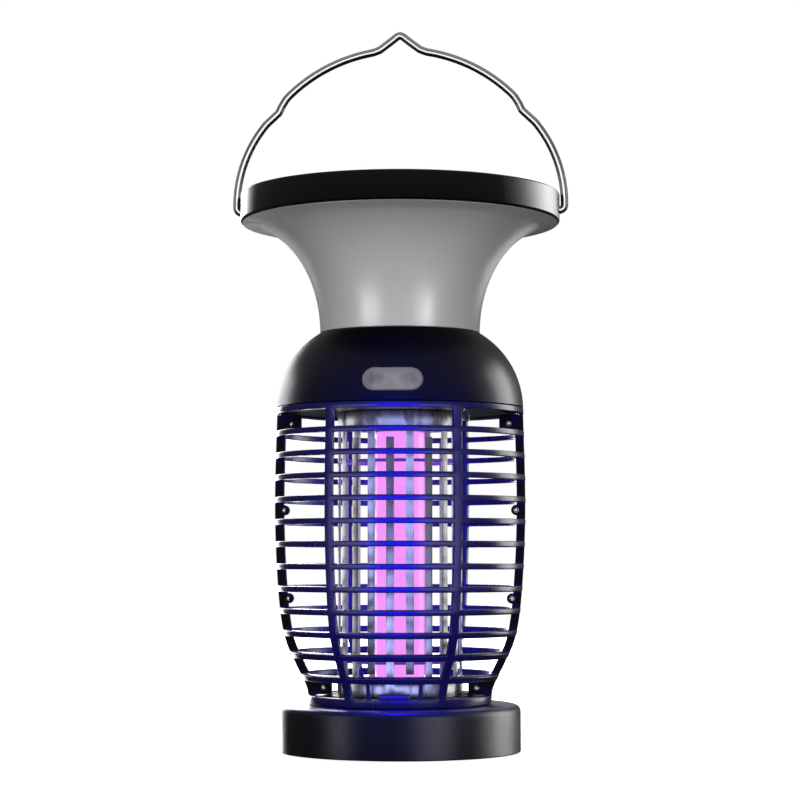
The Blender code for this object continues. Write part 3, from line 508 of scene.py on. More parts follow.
def tube(name, points, radius, sides=28):
    """A round wire along (x, z) points in the plane Y = 0, with slightly rounded ends."""
    bm = bmesh.new()
    rings = []
    count = len(points)
    for i in range(count):
        before, after = Vector(points[max(i - 1, 0)]), Vector(points[min(i + 1, count - 1)])
        along = (after - before).normalized()
        side = Vector((along.y, -along.x))
        size = radius * (0.7 if i in (0, count - 1) else 1.0)
        ring = []
        for k in range(sides):
            a = 2 * math.pi * k / sides
            flat = Vector(points[i]) + side * size * math.cos(a)
            ring.append(bm.verts.new((flat.x, size * math.sin(a), flat.y)))
        rings.append(ring)
    bridge(bm, rings)
    bm.faces.new(rings[0])
    bm.faces.new(rings[-1])
    return mesh_from(name, bm)


def rounded_route(points, shares=(0.08, 0.2, 0.25, 0.25)):
    """Corner cutting: each round replaces a corner by two points, some share of the way along its sides."""
    for share in shares:
        cut = [points[0]]
        for start, end in zip(points, points[1:]):
            a, b = Vector(start), Vector(end)
            cut += [tuple(a.lerp(b, share)), tuple(a.lerp(b, 1 - share))]
        points = cut + [points[-1]]
    return points


# ---- cap, diffuser and bail ----

def make_rim():
    """The cap's band, with a ledge for the panel and a hole at each side for the bail."""
    lip, inner_lip, ledge_lip = 0.9 * MM, 0.4 * MM, 0.2 * MM
    inner, ledge_r = RIM_R - 2 * MM, 66 * MM
    ledge_low, ledge_high = low("panel_gasket").z - 1.5 * MM, low("panel_gasket").z - 0.3 * MM
    corners = [
        (inner, RIM_HIGH, inner_lip), (RIM_R, RIM_HIGH, lip),
        (RIM_R, RIM_LOW, lip), (inner, RIM_LOW, inner_lip),
        (inner, ledge_low, 0.0), (ledge_r, ledge_low, ledge_lip),
        (ledge_r, ledge_high, ledge_lip), (inner, ledge_high, 0.0),
    ]
    band = lathe("rim_band", soften(corners), BIG_ROUND)
    hole_start, hole_end, hole_r = 68 * MM, 80 * MM, WIRE_R + 0.3 * MM
    holes = [cylinder("hole", (side * hole_start, 0, PIVOT_Z), (side * hole_end, 0, PIVOT_Z), hole_r)
             for side in (-1, 1)]
    piece("cap_ring", shaped(band, [("cut", holes)]), "root", "gloss_black", ["rim_band"])


def make_diffuser():
    """Most of a quarter ellipse from the throat to a thin flange, with a spigot at each end."""
    steps, thickness = 40, 2 * MM
    edge_z = DIFFUSER_HIGH - 0.9 * MM
    rise, flare = edge_z - THROAT_Z, FLARE_R - THROAT_R + 1 * MM

    def flank(offset, first, last):
        """The ellipse between two angles in degrees, moved inwards by the offset."""
        points = []
        for i in range(steps + 1):
            t = math.radians(first + (last - first) * i / steps)
            along = Vector((flare * math.sin(t), rise * math.cos(t))).normalized()
            points.append((THROAT_R + flare * (1 - math.cos(t)) - offset * along.y,
                           THROAT_Z + rise * math.sin(t) + offset * along.x))
        return points

    top_r, spigot_wall = FLARE_R - 1.5 * MM, 2 * MM
    edge_half, edge_round = 0.1 * MM, 0.15 * MM
    outline = [(top_r - spigot_wall, DIFFUSER_HIGH), (top_r, DIFFUSER_HIGH), (top_r, edge_z + edge_half)]
    outline += [(FLARE_R - edge_round, edge_z + edge_half), (FLARE_R, edge_z + edge_half - edge_round)]
    outline += [(FLARE_R, edge_z - edge_half)] + flank(0, 76, 0)[:-1]
    seat_r, seat_z = 35.4 * MM, THROAT_Z + 0.35 * MM
    bore_r = seat_r - 1.6 * MM
    outline += [(THROAT_R, seat_z), (seat_r, seat_z), (seat_r, DIFFUSER_LOW)]
    outline += [(bore_r, DIFFUSER_LOW), (bore_r, THROAT_Z)] + flank(thickness, 4, 66)
    trumpet = lathe("trumpet_diffuser", outline, BIG_ROUND)
    opal = piece("trumpet_diffuser", trumpet, "root", "milky_diffuser", ["diffuser"])
    opal.visible_glossy = False  # the dome below stays dark


def bail_side():
    """Centre line of the bail's +X half, from the peak down to the pin, as (x, z)."""
    bend = 2.5 * MM
    peak = [(0, 336.4), (1.4, 335.9), (2.8, 334.7), (9.5, 329.6)]
    jog = [(60.5, 297.3), (57.5, 300.1), (56.2, 303.0), (54.0, 306.6)]
    upper = arc((0, 254.0 * MM), 75.5 * MM, 80.4, 46.5, 12)
    lower = arc((16.9 * MM, 256.1 * MM), 60.4 * MM, 39.4, 0, 12)
    turn_in = arc((PIVOT_X - bend, PIVOT_Z + bend), bend, 0, -90, 5)
    points = [(x * MM, z * MM) for x, z in peak] + upper
    points += [(x * MM, z * MM) for x, z in reversed(jog)] + lower
    return points + turn_in + [(PIN_END, PIVOT_Z)]


def make_bail():
    """One wire from pin to pin, its two halves alike."""
    side = bail_side()
    route = rounded_route([(-x, z) for x, z in reversed(side[1:])] + side)
    piece("wire_bail", tube("wire_bail", route, WIRE_R), "bail", "polished_steel", ["handle"], sharp=60)


def make_solar_top():
    """Round cells under a bevelled cover glass."""
    for name, node, slot, upper_lip, lower_lip, steps in (
        ("cover_glass", "solar_glass", "panel_glass", 0.5 * MM, 0.2 * MM, 160),
        ("cell_sheet", "solar_cells", "solar_cell", 0.1 * MM, 0.1 * MM, SMALL_ROUND),
    ):
        r, z_low, z_high = high(node).y, low(node).z, high(node).z
        outline = soften([(0, z_high, 0), (r, z_high, upper_lip), (r, z_low, lower_lip), (0, z_low, 0)])
        disc = piece(name, lathe(name, outline, steps), "root", slot, [node])
        disc.visible_glossy = False  # the bail's wire stays plain above it


# ---- head, button and port ----

def skin_matrix(z, turn):
    """A frame on the dome's skin whose -Y axis points straight out of it."""
    lean = math.asin((z - DOME_ARC_Z) / DOME_ARC_R)
    radius = DOME_ARC_X + DOME_ARC_R * math.cos(lean)
    place = Matrix.Translation((radius * math.sin(turn), -radius * math.cos(turn), z))
    return place @ Matrix.Rotation(turn, 4, "Z") @ Matrix.Rotation(-lean, 4, "X")


def skin_depth(matrix, x, z):
    """How far in, along local +Y, the dome's skin lies behind a point of that frame's plane."""
    inside, outside = 12 * MM, -2 * MM
    for _ in range(30):
        middle = (inside + outside) / 2
        p = matrix @ Vector((x, middle, z))
        r = math.hypot(math.hypot(p.x, p.y) - DOME_ARC_X, p.z - DOME_ARC_Z)
        if r < DOME_ARC_R:
            inside = middle
        else:
            outside = middle
    return (inside + outside) / 2


def pill(width, height, steps=14):
    reach = (width - height) / 2
    return arc((reach, 0), height / 2, -90, 90, steps) + arc((-reach, 0), height / 2, 90, 270, steps)


def rounded(width, height, radius, steps=8):
    x, z = width / 2 - radius, height / 2 - radius
    points = []
    for corner_x, corner_z, start in ((x, -z, -90), (x, z, 0), (-x, z, 90), (-x, -z, 180)):
        points += arc((corner_x, corner_z), radius, start, start + 90, steps)
    return points


def crowned(name, outline, matrix, back, edge, insets, sink):
    """A cap with a flat back, a rounded edge, and a face that follows the dome's skin."""
    bm = bmesh.new()
    rings = [[bm.verts.new((x, back, z)) for x, z in outline(0)]]
    for inset in insets:
        drop = edge - math.sqrt(max(edge**2 - max(edge - inset, 0) ** 2, 0)) + sink
        rings.append([bm.verts.new((x, skin_depth(matrix, x, z) + drop, z)) for x, z in outline(inset)])
    bridge(bm, rings)
    for ring in (rings[0], rings[-1]):
        bmesh.ops.triangulate(bm, faces=[bm.faces.new(ring)])
    return mesh_from(name, bm)


def dome_outline():
    """The dome's wall, as an outer and an inner arc."""
    centre, mouth = (DOME_ARC_X, DOME_ARC_Z), 35.9 * MM
    upper_edge, lower_edge = 0.4 * MM, 0.3 * MM
    outer = arc(centre, DOME_ARC_R, 58.6, 0.9, 60)
    inner = arc(centre, DOME_ARC_R - WALL, 0.7, 55, 30)
    outline = [(mouth, THROAT_Z), (outer[0][0] - upper_edge, THROAT_Z)] + outer[1:]
    outline += [(outer[-1][0] - lower_edge, DOME_LOW), (inner[0][0], DOME_LOW)] + inner[1:]
    return outline + [(mouth, inner[-1][1])]


def make_dome():
    """The head's skin, with the button's slot in front and the port's seat behind."""
    button_gap, port_gap, port_corner = 0.35 * MM, 0.5 * MM, 2 * MM
    seat_x, seat_z = 11.5 * MM, 6.9 * MM
    socket_x, socket_z, clear = 4.8 * MM, 1.95 * MM, 4 * MM
    slot_outline = pill(BUTTON_WIDTH + 2 * button_gap, BUTTON_HEIGHT + 2 * button_gap)
    slot = slab("slot", slot_outline, -clear, 7 * MM)
    slot.transform(skin_matrix(BUTTON_Z, 0))
    port_block = block("port_block", (-seat_x, 1 * MM, -seat_z), (seat_x, 6 * MM, seat_z))
    recess_outline = rounded(PORT_WIDTH + 2 * port_gap, PORT_HEIGHT + 2 * port_gap, port_corner)
    recess = slab("recess", recess_outline, -clear, 2.4 * MM)
    socket = block("socket", (-socket_x, 1 * MM, -socket_z), (socket_x, 8 * MM, socket_z))
    for mesh in (port_block, recess, socket):
        mesh.transform(skin_matrix(PORT_Z, math.pi))
    shell = lathe("head_shell", dome_outline(), BIG_ROUND)
    shell = shaped(shell, [("join", [port_block]), ("cut", [slot, recess, socket])])
    piece("head_shell", shell, "root", "satin_black", ["upper_housing"])


def make_button():
    """Pill that stands a little proud of the dome."""
    matrix = skin_matrix(BUTTON_Z, 0)
    back, edge, proud = 5.5 * MM, 0.6 * MM, 0.12 * MM
    insets = [inset * MM for inset in (0, 0.08, 0.2, 0.38, 0.6, 0.9, 1.6, 2.6, 3.8, 5.0)]

    def outline(inset):
        return pill(BUTTON_WIDTH - 2 * inset, BUTTON_HEIGHT - 2 * inset)

    cap = crowned("button_lens", outline, matrix, back, edge, insets, -proud)
    piece("button_lens", cap, "button", "grey_lens", ["button_cap"], matrix=matrix)


def make_port_cover():
    """Rubber flap that lies a little below the dome's skin."""
    matrix = skin_matrix(PORT_Z, math.pi)
    back, edge, sink = 1.8 * MM, 0.4 * MM, 0.05 * MM
    corner, least_corner = 1.6 * MM, 0.2 * MM
    insets = [inset * MM for inset in (0, 0.08, 0.2, 0.4, 0.7, 1.4, 2.4, 3.6, 4.6)]

    def outline(inset):
        radius = max(corner - inset, least_corner)
        return rounded(PORT_WIDTH - 2 * inset, PORT_HEIGHT - 2 * inset, radius)

    cover = crowned("port_flap", outline, matrix, back, edge, insets, sink)
    piece("port_flap", cover, "port_flap", "rubber", ["port_cover"], matrix=matrix)


# ---- cage ----

def cage_radius(z):
    """Radius of the cage's outside at a height: a smooth curve through its outline."""
    points = [(r * MM, height * MM) for r, height in CAGE_OUTLINE]
    slopes = []
    for i in range(len(points)):
        before, after = points[max(i - 1, 0)], points[min(i + 1, len(points) - 1)]
        slopes.append((after[0] - before[0]) / (after[1] - before[1]))
    i = max(k for k in range(len(points) - 1) if k == 0 or points[k][1] <= z)
    (r0, z0), (r1, z1) = points[i], points[i + 1]
    span = z1 - z0
    t = (z - z0) / span
    return ((2 * t**3 - 3 * t**2 + 1) * r0 + (t**3 - 2 * t**2 + t) * span * slopes[i]
            + (3 * t**2 - 2 * t**3) * r1 + (t**3 - t**2) * span * slopes[i + 1])


def cage_heights():
    """Both edges of each ring and hoop, from the top down."""
    heights = [CAGE_HIGH, CAGE_HIGH - TOP_RING]
    for k in range(HOOPS):
        middle = TOP_HOOP_Z - k * HOOP_PITCH
        heights += [middle + HOOP_HEIGHT / 2, middle - HOOP_HEIGHT / 2]
    return heights + [CAGE_LOW + BOTTOM_RING, CAGE_LOW]


def cage_angles(radius):
    """Angles of the shell's column edges, from the front, at a radius: the ribs keep their width."""
    half_gap = 0.5 * MM
    edge = math.pi / 2 - half_gap / radius
    rib = RIB_WIDTH / 2 / radius
    marks = [-edge, -RIB_ANGLE - rib, -RIB_ANGLE + rib, RIB_ANGLE - rib, RIB_ANGLE + rib, edge]
    angles = []
    for start, end, parts in zip(marks, marks[1:], CAGE_SPANS):
        angles += [start + (end - start) * k / parts for k in range(parts)]
    return angles + [edge]


def cage_shell():
    """Hoops, rings and ribs as one sheet with its wall inwards and every edge rounded."""
    bm = bmesh.new()
    rows = []
    for z in cage_heights():
        r = cage_radius(z)
        rows.append([bm.verts.new((r * math.sin(a), -r * math.cos(a), z)) for a in cage_angles(r)])
    ribs = (CAGE_SPANS[0], sum(CAGE_SPANS[:3]))
    for i in range(len(rows) - 1):
        for j in range(len(rows[0]) - 1):
            if i % 2 == 0 or j in ribs:
                bm.faces.new((rows[i][j], rows[i + 1][j], rows[i + 1][j + 1], rows[i][j + 1]))
    return shaped(plain_mesh("cage_sheet", bm), [("solidify", CAGE_WALL), ("bevel", 0.42 * MM)])


def flange(side):
    """One side's plate in the parting plane, with its two tabs, two ears and four screw holes."""
    steps, set_back, drill_reach = 40, 0.2 * MM, 8 * MM
    start, end = CAGE_LOW + BOTTOM_RING - 0.1 * MM, CAGE_HIGH - TOP_RING - 0.2 * MM
    heights = [start + (end - start) * i / steps for i in range(steps + 1)]
    outer = [(side * (cage_radius(z) - set_back), z) for z in heights]
    inner = [(side * (cage_radius(z) - FLANGE_DEPTH), z) for z in reversed(heights)]
    plate = slab("flange", outer + inner, -FLANGE_WALL, -PARTING)
    front = -FLANGE_WALL - 0.1 * MM
    added, holes = [], []
    for near, far in TAB_CORNERS:
        added.append(block("tab", (side * near[0] * MM, front, near[1] * MM),
                           (side * far[0] * MM, -PARTING, far[1] * MM)))
    for k, (x, z) in enumerate(SCREW_PLACES):
        if k in (1, 2):  # the outer two screws have the tabs
            added.append(cylinder("ear", (side * x, front, z), (side * x, -PARTING, z), EAR_R))
        holes.append(cylinder("hole", (side * x, -drill_reach, z), (side * x, drill_reach, z), SCREW_HOLE_R))
    return shaped(plate, [("join", added), ("cut", holes), ("bevel", 0.18 * MM)])


def half_ring(r_in, r_out, z_low, z_high, steps=48):
    """A flat half ring on the front side, for the cage's ledge and lip."""
    angles = [math.pi + math.pi * i / steps for i in range(steps + 1)]
    outline = [(r_out * math.cos(a), r_out * math.sin(a)) for a in angles]
    outline += [(r_in * math.cos(a), r_in * math.sin(a)) for a in reversed(angles)]
    mesh = slab("half_ring", outline, 0, z_high - z_low)
    mesh.transform(Matrix.Translation((0, -PARTING, z_high)) @ Matrix.Rotation(-math.pi / 2, 4, "X")
                   @ Matrix.Diagonal((1, 1, -1, 1)))
    mesh.flip_normals()
    return mesh


def cage_rings():
    """The ledge inside the bottom ring and the lip inside the top ring."""
    ledge_in, ledge_out, ledge_high = 37.6 * MM, 40.6 * MM, 25 * MM
    lip_in, lip_out, lip_low = 52.9 * MM, 55.8 * MM, 158 * MM
    set_back = 0.2 * MM
    return [half_ring(ledge_in, ledge_out, CAGE_LOW + set_back, ledge_high),
            half_ring(lip_in, lip_out, lip_low, CAGE_HIGH - set_back)]


def front_details():
    """The catch plate over the base, and a short post at each side of it."""
    catch = block("catch", (-7 * MM, -42 * MM, 26 * MM), (7 * MM, -40 * MM, 29 * MM))
    details = [shaped(catch, [("bevel", 0.8 * MM)])]
    post_r, post_turn = 0.95 * MM, 16
    post_ends = ((41.6 * MM, 25.5 * MM), (43.4 * MM, 34.5 * MM))  # radius and height
    for side in (-1, 1):
        a = math.radians(-90 + post_turn * side)
        start, end = [(r * math.cos(a), r * math.sin(a), z) for r, z in post_ends]
        details.append(cylinder("post", start, end, post_r))
    return details


def make_cage():
    """Two halves alike, apart from the catch plate and its posts at the front."""
    shell, rings = cage_shell(), cage_rings()
    sides = [flange(side) for side in (-1, 1)]
    for word, turn, extra in (("front", 0, front_details()), ("rear", math.pi, [])):
        bars = joined(word + "_cage", [shell] + rings + extra)
        flanges = joined(word + "_flanges", sides)
        for mesh in (bars, flanges):
            mesh.transform(Matrix.Rotation(turn, 4, "Z"))
        piece(word + "_cage", bars, "root", "satin_black", ["cage_" + word], "cage_black")
        piece(word + "_flanges", flanges, "root", "satin_black", look="cage_black")


# ---- grid and lamp ----

def comb_angles(turn, finger_parts, gap_parts):
    """Angles of the sheet's columns all the way round: a finger's, then its gap's."""
    finger = FINGER_WIDTH / GRID_R
    gap = 2 * math.pi / FINGERS - finger
    angles = []
    for k in range(FINGERS):
        start = turn + 2 * math.pi * k / FINGERS - finger / 2
        angles += [start + finger * i / finger_parts for i in range(finger_parts)]
        angles += [start + finger + gap * i / gap_parts for i in range(gap_parts)]
    return angles


def comb(name, node, other, turn):
    """A band with fingers. It hangs if it ends higher than the other comb."""
    z_low, z_high = low(node).z, high(node).z
    hangs = z_high > high(other).z
    rows = (z_high, z_high - HANGING_BAND, z_low) if hangs else (z_low, z_low + STANDING_BAND, z_high)
    finger_parts, gap_parts = 4, 12
    angles = comb_angles(turn, finger_parts, gap_parts)
    bm = bmesh.new()
    grid = [[bm.verts.new((GRID_R * math.cos(a), GRID_R * math.sin(a), z)) for a in angles] for z in rows]
    count = len(angles)
    for i in range(count):
        j = (i + 1) % count
        bm.faces.new((grid[0][i], grid[1][i], grid[1][j], grid[0][j]))
        if i % (finger_parts + gap_parts) < finger_parts:
            bm.faces.new((grid[1][i], grid[2][i], grid[2][j], grid[1][j]))
    if not hangs:
        bmesh.ops.reverse_faces(bm, faces=bm.faces)
    bmesh.ops.delete(bm, geom=[v for v in bm.verts if not v.link_faces], context="VERTS")
    sheet = shaped(plain_mesh(name, bm), [("solidify", GRID_SHEET), ("bevel", 0.15 * MM)])
    piece(name, sheet, "root", "bright_steel", [node])


def make_grid():
    """Two combs with their fingers in each other's gaps, and two spacer rings."""
    half_step, ring_in, ring_edge = math.pi / FINGERS, 24 * MM, 0.6 * MM
    start = -math.pi / 2 + GRID_TURN + half_step / 2
    comb("hanging_comb", "upper_grid", "lower_grid", start)
    comb("standing_comb", "lower_grid", "upper_grid", start - half_step)
    for node in ("upper_spacer_ring", "lower_spacer_ring"):
        r_out, z_low, z_high = high(node).y, low(node).z, high(node).z
        corners = [(ring_in, z_high), (r_out, z_high), (r_out, z_low), (ring_in, z_low)]
        outline = soften([(r, z, ring_edge) for r, z in corners], 6)
        ring = lathe(node, outline, SMALL_ROUND)
        # The rings wear the painted violet glow in place of their white plastic.
        piece(node + "_fine", ring, "root", "white_plastic", [node], "painted_violet_glow")


def make_lamp():
    """The lamp's tube, open at both ends."""
    inner, inner_lip, lip = LAMP_R - 1 * MM, 0.3 * MM, 0.5 * MM
    outline = soften([(inner, LAMP_HIGH, inner_lip), (LAMP_R, LAMP_HIGH, lip),
                      (LAMP_R, LAMP_LOW, lip), (inner, LAMP_LOW, inner_lip)])
    piece("violet_tube", lathe("violet_tube", outline, SMALL_ROUND), "root", "lamp_glow", ["uv_lamp"])


# ---- tray ----

def bayonet(deck_low):
    """Notches for the lugs to drop through, and a stop at each end of their way."""
    notch_in, notch_out, half_notch = 36 * MM, 40.4 * MM, 5.6 * MM
    notch_low, notch_high = 15 * MM, 30 * MM
    stop_in, stop_out, half_stop = 38.3 * MM, 42.3 * MM, 2 * MM
    stop_low, stop_high, stop_turn = 16.5 * MM, deck_low + 0.5 * MM, math.radians(11.2)
    notches, stops = [], []
    for angle in LUG_ANGLES:
        lug = math.radians(angle)
        notch = block("notch", (notch_in, -half_notch, notch_low), (notch_out, half_notch, notch_high))
        notch.transform(Matrix.Rotation(lug - TWIST, 4, "Z"))
        notches.append(notch)
        for turn in (lug + stop_turn, lug - TWIST - stop_turn):
            stop = block("stop", (stop_in, -half_stop, stop_low), (stop_out, half_stop, stop_high))
            stop.transform(Matrix.Rotation(turn, 4, "Z"))
            stops.append(stop)
    return notches, stops


def make_base():
    """The base's skin, with its rounded shoulder and the bayonet round its mouth."""
    deck_low = BASE_HIGH - WALL
    mouth, wall_in = 38.0 * MM, BASE_R - WALL
    corners = [
        (mouth, BASE_HIGH, 0.4 * MM), (BASE_R, BASE_HIGH, 3.6 * MM), (BASE_R, BASE_LOW, 0.6 * MM),
        (wall_in, BASE_LOW, 0.2 * MM), (wall_in, deck_low, 0.8 * MM), (mouth, deck_low, 0.2 * MM),
    ]
    shell = lathe("tray_shell", soften(corners, 10), BIG_ROUND)
    notches, stops = bayonet(deck_low)
    shell = shaped(shell, [("cut", notches), ("join", stops)])
    piece("tray_shell", shell, "tray", "satin_black", ["base_shell"])


# ---- CAD nodes that keep their shape ----

def dress_nodes():
    """Every CAD node that still shows gets its slot's material."""
    slots = {part["node"]: part["material_slot"] for part in frame["record"]["subparts"]}
    for name, obj in NODES.items():
        if obj.hide_render:
            continue
        obj.data.materials.clear()
        obj.data.materials.append(MATERIALS[slots[name]])
        obj.data.shade_smooth()
        obj.data.set_sharp_from_angle(angle=math.radians(32))


# ---- stage, light and camera ----

def make_floor():
    """A wide floor, hidden from mirror reflections and from soft light."""
    bm = bmesh.new()
    bmesh.ops.create_grid(bm, x_segments=1, y_segments=1, size=6.0)
    floor = add_object("floor", plain_mesh("floor", bm))
    floor.data.materials.append(floor_paper())
    floor.visible_glossy = False
    floor.visible_diffuse = False


def area_light(name, place, target, size, radiance, colour=(1, 1, 1), spread=180, only=None):
    """A soft box of this radiance, whatever its size. It can be kept to one group of pieces."""
    data = bpy.data.lights.new(name, "AREA")
    data.shape = "RECTANGLE"
    data.size, data.size_y = size
    data.energy = radiance * math.pi * size[0] * size[1]
    data.color = colour
    data.spread = math.radians(spread)
    lamp = add_object(name, data)
    lamp.location = place
    lamp.rotation_euler = (Vector(target) - Vector(place)).to_track_quat("-Z", "Y").to_euler()
    lamp.visible_camera = False
    if only is not None:
        lamp.light_linking.receiver_collection = only
    return lamp


def make_world():
    """White behind the object. Its reflections see a dim room: grey above, nearly black below."""
    world = bpy.data.worlds.new("room")
    bpy.context.scene.world = world
    world.use_nodes = True
    tree = world.node_tree
    back = tree.nodes["Background"]
    kinds = ("Background", "SeparateXYZ", "MapRange", "LightPath", "MixShader", "TexCoord")
    room, split, fade, path, mix, place = [tree.nodes.new("ShaderNode" + kind) for kind in kinds]
    for shader in (back, room):
        shader.inputs["Color"].default_value = (1, 1, 1, 1)
    for socket, value in (("From Min", -0.35), ("From Max", 0.45), ("To Min", 0.02), ("To Max", 0.14)):
        fade.inputs[socket].default_value = value
    tree.links.new(place.outputs["Generated"], split.inputs[0])
    tree.links.new(split.outputs["Z"], fade.inputs["Value"])
    tree.links.new(fade.outputs[0], room.inputs["Strength"])
    tree.links.new(path.outputs["Is Camera Ray"], mix.inputs[0])
    tree.links.new(room.outputs[0], mix.inputs[1])
    tree.links.new(back.outputs[0], mix.inputs[2])
    tree.links.new(mix.outputs[0], tree.nodes["World Output"].inputs["Surface"])


def group_of(name, *pieces, leave_out=False):
    """Pieces that a light reaches, or with leave_out the only ones that it doesn't."""
    made = bpy.data.collections.new(name)
    for piece_name in pieces:
        made.objects.link(NODES.get(piece_name) or bpy.data.objects[piece_name])
    if leave_out:
        for member in made.collection_objects:
            member.light_linking.link_state = "EXCLUDE"
    return made


def around_z(angle, radius, z):
    """A point at an angle in degrees from the front, towards +X."""
    a = math.radians(angle)
    return (radius * math.sin(a), -radius * math.cos(a), z)


def make_edge_lights():
    """Tall boxes beside and behind the object, for the bright edges of cage and base."""
    middle = (0, 0, 0.17)
    others = group_of("edge_lit", "trumpet_diffuser", "wire_bail", "cap_ring", "chassis_plate",
                      "hanging_comb", "standing_comb", "head_shell", leave_out=True)
    area_light("edge_left", around_z(-160, 1.5, 0.45), middle, (0.7, 1.6), 11, only=others)
    area_light("edge_right", around_z(119, 1.4, 0.35), middle, (0.7, 1.1), 5, only=others)
    area_light("rear_soft", around_z(176, 1.8, 1.1), middle, (0.9, 0.7), 1.5, only=others)


def make_rim_lights():
    """Two rows of narrow boxes for the ends of the cap's band, each fading as a bell curve."""
    rim = group_of("rim", "cap_ring")
    pitch, distance, half_row = 0.22, 1.4, 8
    for middle_angle, spread, peak in ((-150, 14, 7), (126, 24, 4.6)):
        width = distance * math.radians(pitch * spread)
        for step in range(-half_row, half_row + 1):
            away = step * pitch
            place = around_z(middle_angle + away * spread, distance, 0.55)
            radiance = peak * math.exp(-away**2)
            area_light(f"rim_{spread}_{step}", place, (0, 0, 0.25), (width, 0.5), radiance, only=rim)


def make_top_light():
    """A wide soft box over the cap, for its glass, its cells and its band."""
    cap = group_of("cap", "cap_ring", "cover_glass", "cell_sheet", "panel_frame", "panel_gasket")
    area_light("cap_top", (0.3, 0.5, 1.7), (0, 0, 0.26), (1.6, 1.6), 1.0, only=cap)


def make_opal_lights():
    """Front lights from above and below, and a blob and a glow at each side of the diffuser."""
    opal = group_of("opal", "trumpet_diffuser")
    area_light("opal_front", (0, -1.2, 0.85), (0, 0, 0.20), (1.4, 0.5), 2.3, only=opal)
    area_light("opal_low", (0, -1.2, 0.06), (0, 0, 0.20), (1.8, 0.3), 0.5, only=opal)
    for side, glow in ((-1, 0.9), (1, 1.4)):
        blob_place, edge_place = around_z(38 * side, 0.45, 0.16), around_z(150 * side, 0.8, 0.12)
        area_light(f"opal_{side}", blob_place, (0, 0, 0.205), (0.14, 0.13), 12, only=opal)
        area_light(f"opal_edge_{side}", edge_place, (0, 0, 0.22), (0.5, 0.2), glow, only=opal)


def make_bail_lights():
    """A line of light along the wire, grey outside it and dark inside."""
    bail, middle = group_of("bail", "wire_bail"), (0, 0, 0.30)
    area_light("bail_front", (0, -1.2, 0.22), middle, (1.3, 0.8), 1.5, only=bail)
    area_light("bail_top", (0, -0.3, 1.4), middle, (2.0, 1.2), 0.16, only=bail)
    for side in (-1, 1):
        area_light(f"bail_side_{side}", around_z(90 * side, 1.3, 0.30), middle, (1.4, 1.0), 0.2, only=bail)


def make_comb_lights():
    """Lavender on the fingers at the front, pale grey on those at the sides."""
    combs, middle = group_of("combs", "hanging_comb", "standing_comb"), (0, 0, 0.09)
    area_light("comb_front", (0, -0.8, 0.01), middle, (3.4, 0.34), 1.6, (0.45, 0.49, 1.0), only=combs)
    for side in (-1, 1):
        area_light(f"comb_side_{side}", around_z(125 * side, 0.6, 0.10), middle, (0.9, 0.4), 1.0, only=combs)


def make_head_lights():
    """A light on the button, one at each side of the dome, and the lamp's blue on the dome."""
    button, head, middle = group_of("button", "button_lens"), group_of("head", "head_shell"), (0, 0, 0.17)
    area_light("button_key", (0, -0.6, 0.45), middle, (0.4, 0.3), 5, (0.92, 0.9, 1.0), only=button)
    area_light("head_left", around_z(-142, 1.2, 0.22), middle, (0.9, 0.7), 3.5, only=head)
    area_light("head_right", around_z(119, 1.4, 0.35), middle, (0.7, 1.1), 5, only=head)
    area_light("blue_head", (0, -0.20, 0.085), (0, -0.055, 0.150), (0.05, 0.03), 10, BLUE, 50, head)


def make_tray_lights():
    """The lamp's blue on the base, two pale boxes for its front and one for its edge."""
    tray, middle = group_of("tray", "tray_shell"), (0, 0, 0.02)
    area_light("blue_tray", (0, -1.2, 0.02), (0, 0, 0.01), (2.4, 0.6), 0.45, (0.10, 0.10, 1.0), only=tray)
    glint = area_light("blue_glint", (0, -0.056, 0.10), (0, -0.056, 0.0), (0.04, 0.02), 70, BLUE, 120, tray)
    glint.light_linking.blocker_collection = tray
    for name, angle, width, radiance, colour in (
        ("tray_left", -54, 0.30, 2.2, (0.85, 0.85, 1.0)),
        ("tray_right", 36, 0.55, 2.8, (0.85, 0.82, 1.0)),
        ("tray_edge", 105, 0.5, 4, (1, 1, 1)),
    ):
        area_light(name, around_z(angle, 1.0, 0.10), middle, (width, 0.5), radiance, colour, only=tray)


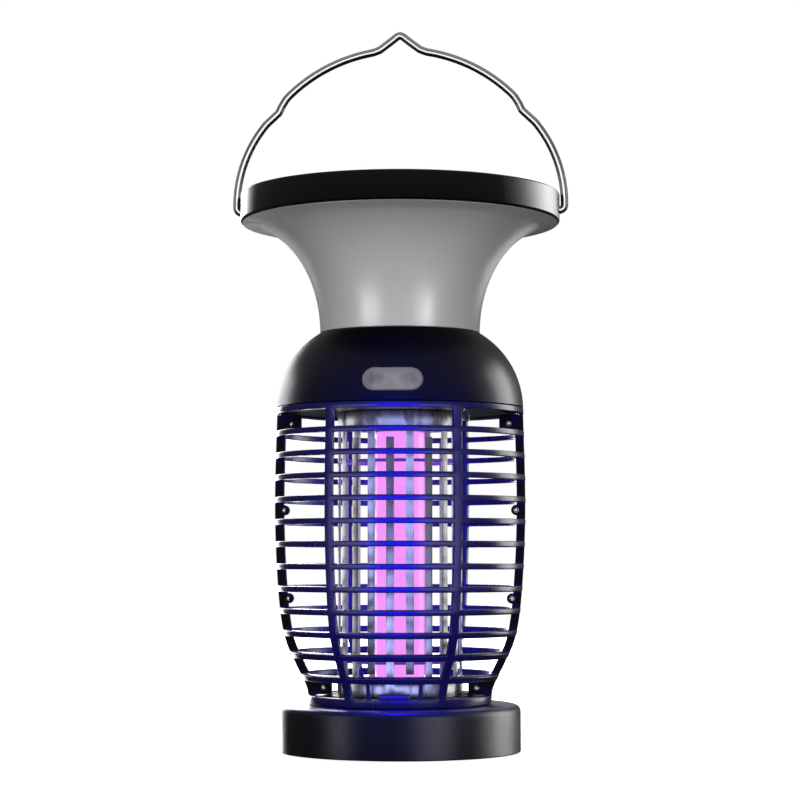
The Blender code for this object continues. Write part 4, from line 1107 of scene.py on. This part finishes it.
def make_bar_lights():
    """The lamp's blue on the cage: strongest in the middle, violet towards its sides."""
    bars, rear = group_of("bars", "front_cage", "rear_cage"), group_of("rear", "rear_cage")
    area_light("blue_bell", (0, -0.20, 0.092), (0, 0, 0.092), (0.18, 0.12), 6.5, BLUE, 110, bars)
    area_light("blue_low", (0, -0.15, 0.030), (0, 0, 0.055), (0.05, 0.03), 3, BLUE, 80, bars)
    area_light("blue_high", (0, -0.15, 0.165), (0, 0, 0.156), (0.10, 0.02), 3.5, BLUE, 60, bars)
    for side in (-1, 1):
        area_light(f"violet_{side}", around_z(39 * side, 0.55, 0.075), (0, 0, 0.075), (0.38, 0.20), 2.3,
                   (0.80, 0.78, 1.0), only=bars)
    for turn in (0, 90, 180, 270):
        near, far = around_z(turn, 0.013, 0.092), around_z(turn, 1.0, 0.092)
        area_light(f"blue_inside_{turn}", near, far, (0.02, 0.11), 34, BLUE, 180, rear)


def make_screw_light():
    """A front light that picks out the heads of the cage's screws."""
    screws = group_of("screws", *(f"cage_screw_{i}" for i in range(1, 9)))
    area_light("screw_front", (0, -0.9, 0.09), (0, 0, 0.09), (0.9, 0.7), 1.6, only=screws)


def make_camera():
    """A long lens at the cage's height, a little to the right and tilted slightly up."""
    turn, tilt, away, height = math.radians(3.5), math.radians(3.98), 1.056, 0.090
    data = bpy.data.cameras.new("camera")
    data.lens = 101.7
    data.sensor_width = 36
    data.clip_start = 0.05
    camera = add_object("camera", data)
    camera.location = (away * math.sin(turn), -away * math.cos(turn), height)
    camera.rotation_euler = (math.pi / 2 + tilt, 0, turn)
    bpy.context.scene.camera = camera
    bpy.context.scene.view_settings.view_transform = "Standard"


make_camera()
make_world()
make_floor()
make_rim()
make_diffuser()
make_bail()
make_solar_top()
make_dome()
make_button()
make_port_cover()
make_cage()
make_grid()
make_lamp()
make_base()
dress_nodes()
make_edge_lights()
make_rim_lights()
make_top_light()
make_opal_lights()
make_bail_lights()
make_comb_lights()
make_head_lights()
make_tray_lights()
make_bar_lights()
make_screw_light()
